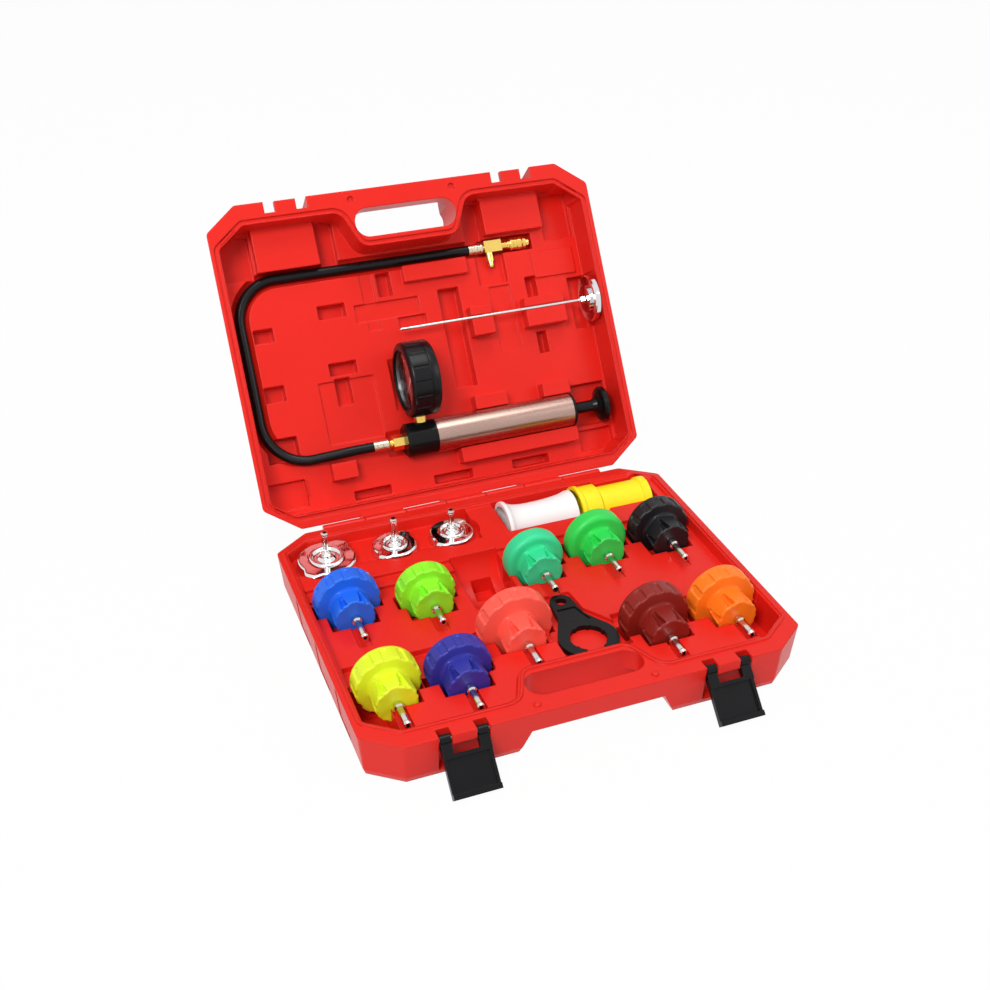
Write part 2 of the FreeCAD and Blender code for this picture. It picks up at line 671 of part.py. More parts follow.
def latch_pin_run(side):
    """Start and length of one latch pin, which is held in the notch walls and the tab."""
    length = LATCH_WIDTH + 2 * LATCH_SIDE_GAP + 2 * LATCH_PIN_HOLD
    start = Vec(side * LATCH_X - length / 2, LATCH_PIVOT_Y, BASE_DEPTH - LATCH_PIVOT_DROP)
    return start, length


save(make_base(), "case_base")


def open_up(shape):
    """Turns a shape that was built with the lid closed to the open lid's place."""
    turned_open = shape.copy()
    turned_open.rotate(Vec(0, HINGE_Y, HINGE_Z), ALONG_X, -OPEN_ANGLE)
    return turned_open


def lid_point(x, from_back, height):
    """A point kept in the closed lid: distance from the back edge and height above the lid rim."""
    return Vec(x, CASE_HALF_DEPTH - from_back, LID_RIM + height)


def lid_box(x0, x1, back0, back1, height0, height1):
    """A block in the closed lid."""
    return box(x0, x1, CASE_HALF_DEPTH - back1, CASE_HALF_DEPTH - back0,
               LID_RIM + height0, LID_RIM + height1)


def lid_mouth_to(height, grow):
    """The mouth's space up to a height above the lid rim, widened by grow."""
    layers = [(LID_RIM - OVERCUT - grow, -grow), (LID_RIM + height + grow, MOUTH_DRAFT - grow)]
    return layered(mouth_outline(), layers)


def lid_well(x0, x1, back0, back1, height, grow):
    """A pocket in the lid that narrows away from the mouth."""
    outline = rectangle(x0, x1, CASE_HALF_DEPTH - back1, CASE_HALF_DEPTH - back0, WELL_CORNER)
    layers = [(LID_RIM - OVERCUT, -grow), (LID_RIM + height + grow, height * WELL_DRAFT - grow)]
    return layered(outline, layers)


def lid_blank(inset):
    """The outside of the lid half, moved inward by inset."""
    top = LID_RIM + LID_DEPTH
    layers = [
        (LID_RIM + inset, inset), (top - 14.0, 7.8 + inset),
        (top - 4.0, 10.8 + inset), (top - 1.2 - inset * 0.5, 13.0 + inset), (top - inset, 16.5 + inset),
    ]
    return layered(case_outline(), layers)


def hose_path(rise):
    """The hose's centre line, moved toward the mouth by rise: straight runs joined by tangent arcs."""
    points = [lid_point(x, back, height - rise) for x, back, height, _ in HOSE_ROUTE]
    edges = []
    run_start = points[0]
    for index in range(1, len(points) - 1):
        corner = points[index]
        before = (corner - points[index - 1]).normalize()
        after = (points[index + 1] - corner).normalize()
        half_turn = before.getAngle(after) / 2
        radius = HOSE_ROUTE[index][3]
        setback = radius * math.tan(half_turn)
        start = corner - before * setback
        end = corner + after * setback
        to_middle = (after - before).normalize() * (radius / math.cos(half_turn) - radius)
        edges.append(Part.LineSegment(run_start, start).toShape())
        edges.append(Part.Arc(start, corner + to_middle, end).toShape())
        run_start = end
    edges.append(Part.LineSegment(run_start, points[-1]).toShape())
    return Part.Wire(edges)


def swept(path, start, direction, radius):
    """A round section swept along a path."""
    section = Part.Wire([Part.makeCircle(radius, start, direction)])
    return path.makePipeShell([section], True, True)


def hose_solid(radius, rise=0.0):
    """The hose's route as a solid of the given radius."""
    points = [lid_point(x, back, height - rise) for x, back, height, _ in HOSE_ROUTE]
    return swept(hose_path(rise), points[0], points[1] - points[0], radius)


def lid_spaces(grow):
    """All the hollows of the lid, each widened by grow."""
    plateau = lid_mouth_to(LID_PLATEAU, grow)
    blocks = [
        lid_box(x0 + grow, x1 - grow, back0 + grow, back1 - grow,
                height + grow, LID_DEPTH)
        for x0, x1, back0, back1, height in LID_BLOCKS
    ]
    spaces = [plateau.cut(blocks)]
    inside = lid_blank(CASE_WALL - grow)
    for x0, x1, back0, back1, height in LID_WELLS:
        spaces.append(lid_well(x0, x1, back0, back1, height, grow).common(inside))

    trough = BARREL_RADIUS + NEST_GAP + grow
    trough_start = PUMP_NUT_START - 2.0 - grow
    trough_length = HANDLE_STEM_START + 3.0 + grow - trough_start
    spaces.append(rod(lid_point(trough_start, PUMP_FROM_BACK, PUMP_HEIGHT), ALONG_X, trough, trough_length))
    spaces.append(rod(lid_point(-41.0 - grow, GAUGE_FROM_BACK, GAUGE_HEIGHT), ALONG_X,
                      BOOT_RADIUS + SIDE_GAP + grow, 39.0 + grow * 2))
    dial_floor = THERMOMETER_HEIGHT + THERMOMETER_CASE_RADIUS + NEST_GAP + grow
    dial_space = lid_box(170.0 - grow, MOUTH_HALF_WIDTH, 150.0 - grow, 205.0 + grow, -OVERCUT, dial_floor)
    spaces.append(dial_space.common(inside))
    spaces.append(hose_solid(HOSE_RADIUS + NEST_GAP + grow))
    spaces.append(hose_solid(CHANNEL_RADIUS + grow, CHANNEL_RADIUS - HOSE_RADIUS - NEST_GAP))
    return spaces


def make_lid():
    """Upper half of the case, built closed."""
    body = lid_blank(0)
    core = lid_blank(CASE_WALL)
    cut_away = lid_spaces(0) + side_bands(LID_RIM + 3, LID_RIM + 36, 7.8)
    cut_away += [handle_slot(0), lid_arch(0)]
    keep_out = lid_spaces(CASE_WALL) + [handle_slot(CASE_WALL), lid_arch(CASE_WALL)]
    notch_top = LID_RIM + NOTCH_LID_DEPTH
    for side in (-1, 1):
        cut_away.append(latch_notch(side, LID_RIM - OVERCUT, notch_top, 0))
        keep_out.append(latch_notch(side, LID_RIM - OVERCUT, notch_top + CASE_WALL, CASE_WALL))
    for x, y in peg_points():
        dimple = PEG_RADIUS + PEG_GAP
        cut_away.append(rod(Vec(x, y, LID_RIM - OVERCUT), ALONG_Z, dimple, OVERCUT + PEG_HEIGHT + 0.2))
        keep_out.append(rod(Vec(x, y, LID_RIM), ALONG_Z, dimple + CASE_WALL, PEG_HEIGHT + CASE_WALL))
    groove_depth = TONGUE_HEIGHT + GROOVE_GAP
    groove_width = TONGUE_WIDTH + 2 * GROOVE_GAP
    groove_offset = TONGUE_OFFSET - GROOVE_GAP
    cut_away.append(rim_band(groove_offset, groove_width, LID_RIM - OVERCUT, LID_RIM + groove_depth))
    keep_out.append(layered(mouth_outline(), [
        (LID_RIM, -groove_offset - groove_width - CASE_WALL),
        (LID_RIM + groove_depth + CASE_WALL, -groove_offset - groove_width - CASE_WALL),
    ]))
    for side in (-1, 1):
        inner, outer = sorted((side * PINCH_X, side * CASE_HALF_WIDTH))
        keep_out.append(box(inner, outer, -CASE_HALF_DEPTH, PINCH_Y, LID_RIM, LID_RIM + LID_DEPTH))
    hollow = core.cut(keep_out)
    rooms = [room for room in hollow.Solids if room.Volume > 2000]
    body = body.cut(cut_away).cut(rooms)

    additions = []
    for side in (-1, 1):
        centre = side * LATCH_X
        additions.append(box(centre - TAB_HALF_WIDTH, centre + TAB_HALF_WIDTH, -CASE_HALF_DEPTH + 0.6,
                             NOTCH_BACK + 0.5, LID_RIM, LID_RIM + TAB_LID_DEPTH))
    body = body.fuse(additions)
    numbers = range(1, KNUCKLE_COUNT, 2)
    knuckles = hinge_knuckles(numbers, HINGE_PIN_RADIUS + HINGE_TURNING_GAP, HINGE_Z,
                              LID_RIM + KNUCKLE_WEB_HEIGHT, CASE_HALF_DEPTH + 0.4)
    for index in numbers:
        left, right = hinge_end(index)
        knuckles.append(box(left, right, CASE_HALF_DEPTH - 5.0, CASE_HALF_DEPTH + 0.5,
                            LID_RIM + 0.2, LID_RIM + KNUCKLE_WEB_HEIGHT))
    return body.fuse(knuckles)


save(open_up(make_lid()), "case_lid")


def make_hinge_pin():
    """The steel rod through the knuckles."""
    length = KNUCKLE_PITCH * KNUCKLE_COUNT
    return rod(Vec(-length / 2, HINGE_Y, HINGE_Z), ALONG_X, HINGE_PIN_RADIUS, length)


save(make_hinge_pin(), "hinge_pin")


def make_latch(side):
    """A latch built closed over the lid's tab, then hung open."""
    centre = side * LATCH_X
    half = LATCH_WIDTH / 2
    pivot_z = BASE_DEPTH - LATCH_PIVOT_DROP
    inner_y = LATCH_PIVOT_Y - LATCH_PLATE_OFFSET
    outer_y = inner_y - LATCH_PLATE_THICKNESS
    plate_low = pivot_z + LATCH_WINDOW
    plate_high = pivot_z + LATCH_REACH
    pieces = [box(centre - half, centre + half, outer_y, inner_y, plate_low, plate_high)]
    pieces.append(box(centre - half, centre + half, outer_y, inner_y + LATCH_LIP,
                      plate_high - LATCH_LIP, plate_high))
    for x0 in (centre - half, centre + half - LATCH_RIB):
        pieces.append(box(x0, x0 + LATCH_RIB, outer_y, inner_y + LATCH_RIB, plate_low, plate_high - 0.5))
    pieces.append(box(centre - half, centre + half, outer_y, inner_y + 4.0, plate_low, plate_low + 3.5))
    arm_width = half - LATCH_ARM_INNER
    for x0 in (centre - half, centre + LATCH_ARM_INNER):
        eye = rod(Vec(x0, LATCH_PIVOT_Y, pivot_z), ALONG_X, 4.0, arm_width)
        arm = box(x0, x0 + arm_width, outer_y, LATCH_PIVOT_Y + 1.0, pivot_z, plate_low + 3.5)
        pieces += [eye, arm]
    latch = pieces[0].fuse(pieces[1:]).removeSplitter()
    hole = rod(Vec(centre - half - 1, LATCH_PIVOT_Y, pivot_z), ALONG_X,
               LATCH_PIN_RADIUS + LATCH_TURNING_GAP, LATCH_WIDTH + 2)
    latch = latch.cut(hole)
    latch.rotate(Vec(centre, LATCH_PIVOT_Y, pivot_z), ALONG_X, LATCH_SWING)
    return latch


def make_latch_pins():
    """The two pins, held in the walls of the notches and in the tabs."""
    pins = [rod(start, ALONG_X, LATCH_PIN_RADIUS, length)
            for start, length in (latch_pin_run(-1), latch_pin_run(1))]
    return Part.makeCompound(pins)


save(make_latch(-1), "latch_left")
save(make_latch(1), "latch_right")
save(make_latch_pins(), "latch_pins")


def pump_point(x):
    """A point on the pump's axis."""
    return lid_point(x, PUMP_FROM_BACK, PUMP_HEIGHT)


def gauge_point(x):
    """A point on the gauge's axis."""
    return lid_point(x, GAUGE_FROM_BACK, GAUGE_HEIGHT)


def stem_direction():
    """Direction of the gauge stem, from the pump's axis to the gauge's axis."""
    return (gauge_point(0) - pump_point(0)).normalize()


def stem_span():
    """Distance between the pump's axis and the gauge's axis."""
    return (gauge_point(0) - pump_point(0)).Length


def make_barrel():
    """The thin tube of the hand pump."""
    return tube(pump_point(BARREL_START), ALONG_X, BARREL_RADIUS, BARREL_RADIUS - BARREL_WALL,
                BARREL_END - BARREL_START)


def make_head():
    """The pump head: a plug in the barrel, a chamber for the valve and ports for gauge and hose."""
    length = BARREL_START - HEAD_START
    bore = BARREL_RADIUS - BARREL_WALL
    head = turned([
        (0, PORT_RADIUS), (0, HEAD_RADIUS - 2.0), (2.0, HEAD_RADIUS), (length, HEAD_RADIUS),
        (length, bore - FIT), (length + HEAD_SPIGOT, bore - FIT), (length + HEAD_SPIGOT, VALVE_RADIUS),
        (length + 2.0, VALVE_RADIUS), (length + 2.0, PORT_RADIUS),
    ], pump_point(HEAD_START), ALONG_X)
    seat = pump_point(GAUGE_STEM_X) + stem_direction() * STEM_DEPTH
    port = rod(pump_point(GAUGE_STEM_X), stem_direction(), PORT_RADIUS, HEAD_RADIUS)
    return head.cut([rod(seat, stem_direction(), GAUGE_STEM_RADIUS, HEAD_RADIUS), port])


def make_check_valve():
    """The valve disc at the bottom of the head's chamber."""
    return tube(pump_point(BARREL_START + 2.0), ALONG_X, VALVE_RADIUS - FIT, 1.2, 3.0)


def make_end_cap():
    """The cap that closes the barrel and guides the rod."""
    plug = BARREL_RADIUS - BARREL_WALL - FIT
    guide = ROD_RADIUS + SLIDING_GAP
    return turned([
        (-8.0, guide), (-8.0, plug), (0, plug), (0, BARREL_RADIUS),
        (END_CAP_END - BARREL_END - 1.0, BARREL_RADIUS), (END_CAP_END - BARREL_END, BARREL_RADIUS - 1.0),
        (END_CAP_END - BARREL_END, guide),
    ], pump_point(BARREL_END), ALONG_X)


def make_rod():
    """The plunger rod, from the piston into the handle."""
    return rod(pump_point(PISTON_START), ALONG_X, ROD_RADIUS, HANDLE_STEM_START + 15.0 - PISTON_START)


def make_handle():
    """The mushroom handle on the end of the rod."""
    stem = KNOB_START - HANDLE_STEM_START
    length = KNOB_END - HANDLE_STEM_START
    return turned([
        (0, ROD_RADIUS + FIT), (0, HANDLE_STEM_RADIUS), (stem - 4.0, HANDLE_STEM_RADIUS),
        (stem, HANDLE_STEM_RADIUS + 2.0), (stem + 3.0, 12.0), (stem + 4.5, KNOB_RADIUS - 1.5),
        (stem + 6.5, KNOB_RADIUS), (stem + 9.5, KNOB_RADIUS), (stem + 12.0, KNOB_RADIUS - 3.0),
        (length - 0.8, 10.0), (length, 4.0), (length, 0), (15.0, 0), (15.0, ROD_RADIUS + FIT),
    ], pump_point(HANDLE_STEM_START), ALONG_X)


def make_piston():
    """The piston with its seal groove."""
    full = BARREL_RADIUS - BARREL_WALL - 0.4
    groove = full - SEAL_DEPTH
    return turned([
        (0, ROD_RADIUS + FIT), (0, full), (3.0, full), (3.0, groove), (7.0, groove), (7.0, full),
        (PISTON_LENGTH, full), (PISTON_LENGTH, ROD_RADIUS + FIT),
    ], pump_point(PISTON_START), ALONG_X)


def make_seal():
    """The ring seal in the piston's groove."""
    outer = BARREL_RADIUS - BARREL_WALL - SLIDING_GAP
    inner = BARREL_RADIUS - BARREL_WALL - 0.4 - SEAL_DEPTH + FIT
    return tube(pump_point(PISTON_START + 3.0), ALONG_X, outer, inner, 4.0)


save(open_up(make_barrel()), "pump_barrel")
save(open_up(make_head()), "pump_head")
save(open_up(make_check_valve()), "check_valve")
save(open_up(make_end_cap()), "pump_end_cap")
save(open_up(make_rod()), "pump_rod")
save(open_up(make_handle()), "pump_handle")
save(open_up(make_piston()), "pump_piston")
save(open_up(make_seal()), "piston_seal")


def stem_hole(radius):
    """The hole for the gauge stem through the boot and the case."""
    return rod(pump_point(GAUGE_STEM_X) + stem_direction() * HEAD_RADIUS, stem_direction(), radius,
               stem_span() - HEAD_RADIUS - GAUGE_INNER_RADIUS + 1.0)


def make_gauge_boot():
    """The rubber boot around the gauge, with a lip in front."""
    length = BOOT_END - BOOT_START
    inner = BOOT_RADIUS - BOOT_WALL
    boot = turned([
        (0, inner - 3.0), (0, BOOT_RADIUS - 3.0), (2.0, BOOT_RADIUS), (length - 3.0, BOOT_RADIUS),
        (length, BOOT_RADIUS - 4.0), (length, 0), (length - BOOT_LIP, 0), (length - BOOT_LIP, inner),
        (BOOT_LIP, inner), (BOOT_LIP, inner - 3.0),
    ], gauge_point(BOOT_START), ALONG_X)
    return boot.cut(stem_hole(GAUGE_STEM_RADIUS + FIT))


def make_gauge_case():
    """The gauge's metal case: a cup with a front bezel and a step for the dial."""
    length = BOOT_END - BOOT_START - 2 * BOOT_LIP
    outer = BOOT_RADIUS - BOOT_WALL - FIT
    case = turned([
        (0, outer - 4.0), (0, outer), (length, outer), (length, 0), (length - 2.0, 0),
        (length - 2.0, outer - 5.0), (DIAL_STEP, outer - 5.0), (DIAL_STEP, GAUGE_INNER_RADIUS),
        (1.2, GAUGE_INNER_RADIUS), (1.2, outer - 4.0),
    ], gauge_point(BOOT_START + BOOT_LIP), ALONG_X)
    return case.cut(stem_hole(GAUGE_STEM_RADIUS + FIT))


def make_gauge_stem():
    """The brass stem that screws into the pump head and carries the gauge."""
    start = pump_point(GAUGE_STEM_X) + stem_direction() * STEM_DEPTH
    collar_start = HEAD_RADIUS - STEM_DEPTH + FIT
    collar_end = stem_span() - BOOT_RADIUS - STEM_DEPTH - FIT
    length = stem_span() - GAUGE_INNER_RADIUS - STEM_DEPTH - 0.3
    radius = GAUGE_STEM_RADIUS - FIT
    return turned([
        (0, PORT_RADIUS), (0, radius), (collar_start, radius), (collar_start, 6.5), (collar_end, 6.5),
        (collar_end, radius), (length, radius), (length, PORT_RADIUS),
    ], start, stem_direction())


def make_gauge_lens():
    """The clear lens behind the bezel."""
    start = gauge_point(BOOT_START + BOOT_LIP + 1.2)
    return rod(start, ALONG_X, GAUGE_INNER_RADIUS - FIT, LENS_THICKNESS)


def make_gauge_dial():
    """The dial plate on its step."""
    start = gauge_point(BOOT_START + BOOT_LIP + DIAL_STEP - DIAL_THICKNESS)
    return tube(start, ALONG_X, GAUGE_INNER_RADIUS - FIT, 1.0, DIAL_THICKNESS)


def pointer(reach, tail, thickness, direction):
    """A pointer that reaches along -Z from a hub at the origin and is thick along X."""
    corners = [Vec(0, -1.1, 0), Vec(0, -0.3, -reach), Vec(0, 0.3, -reach), Vec(0, 1.1, 0),
               Vec(0, 0.9, tail), Vec(0, -0.9, tail)]
    blade = prism(corners, Vec(thickness, 0, 0))
    hub = rod(Vec(0, 0, 0), ALONG_X, 2.6, thickness)
    spindle = rod(Vec(0, 0, 0), ALONG_X * direction, 0.9, 2.4)
    return blade.fuse([hub, spindle])


def make_gauge_needle():
    """The needle, standing at the low end of the scale."""
    needle = pointer(24.0, 7.0, NEEDLE_THICKNESS, 1)
    needle.rotate(Vec(0, 0, 0), ALONG_X, GAUGE_NEEDLE_START)
    needle.translate(gauge_point(BOOT_START + BOOT_LIP + DIAL_STEP - DIAL_THICKNESS - 1.6))
    return needle


save(open_up(make_gauge_stem()), "gauge_stem")
save(open_up(make_gauge_case()), "gauge_case")
save(open_up(make_gauge_boot()), "gauge_boot")
save(open_up(make_gauge_dial()), "gauge_dial")
save(open_up(make_gauge_needle()), "gauge_needle")
save(open_up(make_gauge_lens()), "gauge_lens")


def make_hose():
    """The hose along its whole route in the lid."""
    hose = hose_solid(HOSE_RADIUS)
    straight = math.pi * (HOSE_RADIUS ** 2 - HOSE_BORE_RADIUS ** 2) * hose_path(0).Length
    hose = hose.cut(hose_solid(HOSE_BORE_RADIUS))
    radii = [row[3] for row in HOSE_ROUTE if row[3]]
    print("hose length", round(hose_path(0).Length), "volume share", round(hose.Volume / straight, 3),
          "bend radii", radii)
    return hose


def ferrule(start_x, back, height):
    """A crimped ferrule with its closed end toward +X."""
    start = lid_point(start_x, back, height)
    outer = FERRULE_RADIUS
    inner = HOSE_RADIUS + FERRULE_GAP
    end = FERRULE_LENGTH
    return turned([
        (0, inner), (0, outer), (3.0, outer), (3.6, outer - 0.4), (6.0, outer - 0.4), (6.6, outer),
        (9.0, outer), (9.6, outer - 0.4), (12.0, outer - 0.4), (12.6, outer), (end - 2, outer),
        (end, outer - 1.2), (end, HOSE_BORE_RADIUS), (end - 2, HOSE_BORE_RADIUS), (end - 2, inner),
    ], start, ALONG_X)


def make_ferrules():
    """Both ferrules of the hose."""
    lower = ferrule(LOWER_FERRULE_END, PUMP_FROM_BACK, PUMP_HEIGHT)
    upper = ferrule(TOP_FERRULE_START, TOP_RUN_FROM_BACK, HOSE_HIGH_RUN)
    return Part.makeCompound([lower, upper])


def hexagon(start, across, length):
    """A hexagonal bar along X."""
    corners = [
        start + Vec(0, math.cos(math.radians(60 * k)), math.sin(math.radians(60 * k))) * across
        for k in range(6)
    ]
    return prism(corners, Vec(length, 0, 0))


def make_hose_nut():
    """The hex nut and its neck between the lower ferrule and the pump head."""
    neck_start = LOWER_FERRULE_END + FERRULE_LENGTH
    neck = rod(pump_point(neck_start), ALONG_X, 4.5, PUMP_NUT_START - neck_start + 1.0)
    nut = hexagon(pump_point(PUMP_NUT_START), PUMP_NUT_RADIUS, HEAD_START - PUMP_NUT_START)
    bore = rod(pump_point(neck_start - 1), ALONG_X, PORT_RADIUS, HEAD_START - neck_start + 2)
    return nut.fuse(neck).cut(bore)


def top_point(x, toward_back=0.0):
    """A point on the hose's top run, moved toward the back edge when asked."""
    return lid_point(x, TOP_RUN_FROM_BACK - toward_back, HOSE_HIGH_RUN)


def make_tee():
    """The brass tee: a square block with a branch for the release valve."""
    start = top_point(TEE_START)
    block = box(TEE_START, COUPLER_START, start.y - TEE_HALF, start.y + TEE_HALF,
                start.z - TEE_HALF, start.z + TEE_HALF)
    branch = rod(top_point(BRANCH_X, TEE_HALF - 0.5), ALONG_Y, BRANCH_RADIUS, BRANCH_LENGTH + 0.5)
    through = rod(top_point(TEE_START - 1), ALONG_X, PORT_RADIUS, COUPLER_START - TEE_START + 2)
    down = rod(top_point(BRANCH_X), ALONG_Y, PORT_RADIUS, TEE_HALF)
    valve_bore = rod(top_point(BRANCH_X, TEE_HALF), ALONG_Y, VALVE_STEM_RADIUS + SLIDING_GAP,
                     BRANCH_LENGTH + 1)
    return block.fuse(branch).cut([through, down, valve_bore])


def make_release_valve():
    """The release valve's plunger in the tee's branch."""
    start = TEE_HALF + VALVE_TRAVEL + 0.4
    length = BRANCH_LENGTH + 6.0
    return turned([
        (start, 0), (start, VALVE_STEM_RADIUS), (TEE_HALF + BRANCH_LENGTH + 4.0, VALVE_STEM_RADIUS),
        (TEE_HALF + length, VALVE_STEM_RADIUS - 0.8), (TEE_HALF + length, 0),
    ], top_point(BRANCH_X), ALONG_Y)


def make_coupler_body():
    """The quick coupler's body with its front flange."""
    return turned([
        (0, PORT_RADIUS), (0, 4.5), (7.0, 4.5), (7.0, COUPLER_RADIUS), (24.0, COUPLER_RADIUS),
        (24.0, 6.8), (27.0, 6.8), (28.0, 5.0), (31.0, 4.6), (31.0, PORT_RADIUS),
    ], top_point(COUPLER_START), ALONG_X)


def make_coupler_sleeve():
    """The sliding sleeve of the coupler, forward against the flange."""
    inner = COUPLER_RADIUS + SLIDING_GAP
    return turned([
        (9.5, inner), (9.5, 6.8), (10.5, 7.4), (13.0, 7.4), (13.6, 6.9), (17.0, 6.9), (17.6, 7.4),
        (22.0, 7.4), (24.0, 6.6), (24.0, inner),
    ], top_point(COUPLER_START), ALONG_X)


save(open_up(make_hose()), "hose")
save(open_up(make_ferrules()), "hose_ferrules")
save(open_up(make_hose_nut()), "hose_nut")
save(open_up(make_tee()), "tee_body")
save(open_up(make_release_valve()), "release_valve")
save(open_up(make_coupler_body()), "coupler_body")
save(open_up(make_coupler_sleeve()), "coupler_sleeve")


def thermometer_point(x):
    """A point on the thermometer's axis."""
    return lid_point(x, THERMOMETER_FROM_BACK, THERMOMETER_HEIGHT)


def make_thermometer_body():
    """The stepped case with the stem and hex nut behind it."""
    radius = THERMOMETER_CASE_RADIUS
    case = turned([
        (0, 0), (0, 14.0), (2.5, 14.0), (2.5, radius - 1.5), (3.8, radius), (8.0, radius),
        (8.0, radius - 3.0), (7.2, radius - 3.0), (7.2, LENS_SEAT), (4.4, LENS_SEAT),
        (4.4, radius - 4.0), (3.7, radius - 4.0), (3.7, 12.8), (1.2, 12.8), (1.2, 0),
    ], thermometer_point(THERMOMETER_CASE_START), ALONG_X)
    stem = turned([
        (0, 0), (2.0, THERMOMETER_STEM_RADIUS), (198.0, THERMOMETER_STEM_RADIUS), (198.0, 2.6),
        (THERMOMETER_CASE_START - THERMOMETER_TIP + 0.5, 2.6),
        (THERMOMETER_CASE_START - THERMOMETER_TIP + 0.5, 0),
    ], thermometer_point(THERMOMETER_TIP), ALONG_X)
    nut = hexagon(thermometer_point(173.5), 4.6, 5.0)
    return case.fuse([stem, nut])


def make_thermometer_dial():
    """The thermometer's dial plate."""
    return tube(thermometer_point(THERMOMETER_CASE_START + 4.4), ALONG_X, LENS_SEAT - FIT, 1.0, 0.6)


def make_thermometer_needle():
    """The thermometer's needle at the low end of its scale."""
    needle = pointer(17.0, 5.0, 0.5, -1)
    needle.rotate(Vec(0, 0, 0), ALONG_X, -THERMOMETER_NEEDLE_START)
    needle.translate(thermometer_point(THERMOMETER_CASE_START + 5.2))
    return needle


def make_thermometer_lens():
    """The clear lens behind the rim."""
    return rod(thermometer_point(THERMOMETER_CASE_START + 6.2), ALONG_X, LENS_SEAT - FIT, 1.0)


save(open_up(make_thermometer_body()), "thermometer_body")
save(open_up(make_thermometer_dial()), "thermometer_dial")
save(open_up(make_thermometer_needle()), "thermometer_needle")
save(open_up(make_thermometer_lens()), "thermometer_lens")


def nipple(start, direction, length, seat):
    """A plated hose nipple: a collar inside the cap, a root outside it and a ringed tube."""
    collar = seat + COLLAR_THICKNESS
    shank = NIPPLE_SHANK - FIT
    return turned([
        (collar, NIPPLE_BORE_RADIUS), (collar, 6.0), (seat, 6.0), (seat, shank), (0, shank),
        (0, NIPPLE_ROOT_RADIUS), (-4.0, NIPPLE_ROOT_RADIUS), (-5.0, 2.9),
        (4.0 - length, 2.9), (3.0 - length, NIPPLE_RADIUS), (1.5 - length, NIPPLE_RADIUS),
        (-length, 2.9), (-length, NIPPLE_BORE_RADIUS),
    ], start, direction)


def make_adapter(x, front, ring_radius, ring_width, hub_length, flutes):
    """A moulded cap: a wide ring behind, a narrower hub with six scoops in front."""
    z = BASE_DEPTH - ADAPTER_AXIS_DROP
    start = Vec(x, front, z)
    back = hub_length + ring_width
    cap = turned([
        (0, NIPPLE_SHANK), (0, HUB_FRONT_RADIUS - 1.5), (1.5, HUB_FRONT_RADIUS),
        (hub_length, HUB_BACK_RADIUS), (hub_length, ring_radius - 3.0), (hub_length + 2.0, ring_radius),
        (back, ring_radius), (back, ring_radius - CAP_WALL),
        (hub_length + CAP_WALL, ring_radius - CAP_WALL), (hub_length + CAP_WALL, 13.5),
        (NIPPLE_SEAT, 13.5), (NIPPLE_SEAT, NIPPLE_SHANK),
    ], start, ALONG_Y)
    cuts = []
    for k in range(6):
        turn = math.radians(60 * k + 30)
        outward = Vec(math.cos(turn), 0, math.sin(turn))
        scoop_start = start + outward * (HUB_FRONT_RADIUS + 0.8) - ALONG_Y
        cuts.append(Part.makeCone(4.2, 1.2, hub_length - 3.0, scoop_start, ALONG_Y))
    for k in range(flutes):
        turn = 360 / flutes * (k + 0.5)
        flute = box(-2.6, 2.6, hub_length + 2.5, back - 2.0, ring_radius - 0.9, ring_radius + 2)
        flute.rotate(Vec(0, 0, 0), ALONG_Y, turn)
        flute.translate(start)
        cuts.append(flute)
    return cap.cut(cuts)


def cap_outline(radius, inset, height):
    """A metal cap's outline as a solid: a disc with two rounded ears."""
    pieces = [rod(Vec(0, 0, 0), ALONG_Z, radius - inset, height)]
    for turn in (EAR_TURN, EAR_TURN + 180):
        reach = radius * EAR_REACH
        tip = radius * EAR_TIP - inset
        neck = radius * EAR_ROOT - inset
        ear = prism([Vec(0, -neck, 0), Vec(reach, -tip, 0), Vec(reach, tip, 0), Vec(0, neck, 0)],
                    Vec(0, 0, height))
        ear = ear.fuse(rod(Vec(reach, 0, 0), ALONG_Z, tip, height))
        ear.rotate(Vec(0, 0, 0), ALONG_Z, turn)
        pieces.append(ear)
    return pieces[0].fuse(pieces[1:]).removeSplitter()


def make_metal_cap(x, y, radius, skirt):
    """A stamped radiator cap: skirt, ears, a raised ring and a boss with the nipple's hole."""
    shell = cap_outline(radius, 0, skirt)
    inside = cap_outline(radius, SHEET, skirt - SHEET)
    ridge = turned([(0, radius * 0.46), (1.6, radius * 0.49), (1.6, radius * 0.57), (0, radius * 0.6)],
                   Vec(0, 0, skirt), ALONG_Z)
    boss = turned([(0, 0), (0, radius * 0.3), (BOSS_HEIGHT, radius * 0.24), (BOSS_HEIGHT, 0)],
                  Vec(0, 0, skirt), ALONG_Z)
    cap = shell.cut(inside).fuse([ridge, boss])
    cap = cap.cut(rod(Vec(0, 0, -1), ALONG_Z, NIPPLE_SHANK, skirt + BOSS_HEIGHT + 2))
    cap.translate(Vec(x, y, metal_cap_foot()))
    return cap


def metal_cap_foot():
    """Height of the metal caps' lower edge above the recess that they rest in."""
    return BASE_DEPTH - METAL_CAP_RECESS + NEST_GAP


def make_metal_cap_nipple(x, y, skirt, top):
    """The nipple that stands on a metal cap, clamped from below."""
    start = Vec(x, y, metal_cap_foot() + skirt + BOSS_HEIGHT)
    return nipple(start, -ALONG_Z, BASE_DEPTH + top - start.z, SHEET + BOSS_HEIGHT)


for name, x, y, radius, skirt, top in METAL_CAPS:
    save(make_metal_cap(x, y, radius, skirt), name)
    save(make_metal_cap_nipple(x, y, skirt, top), name + "_nipple")

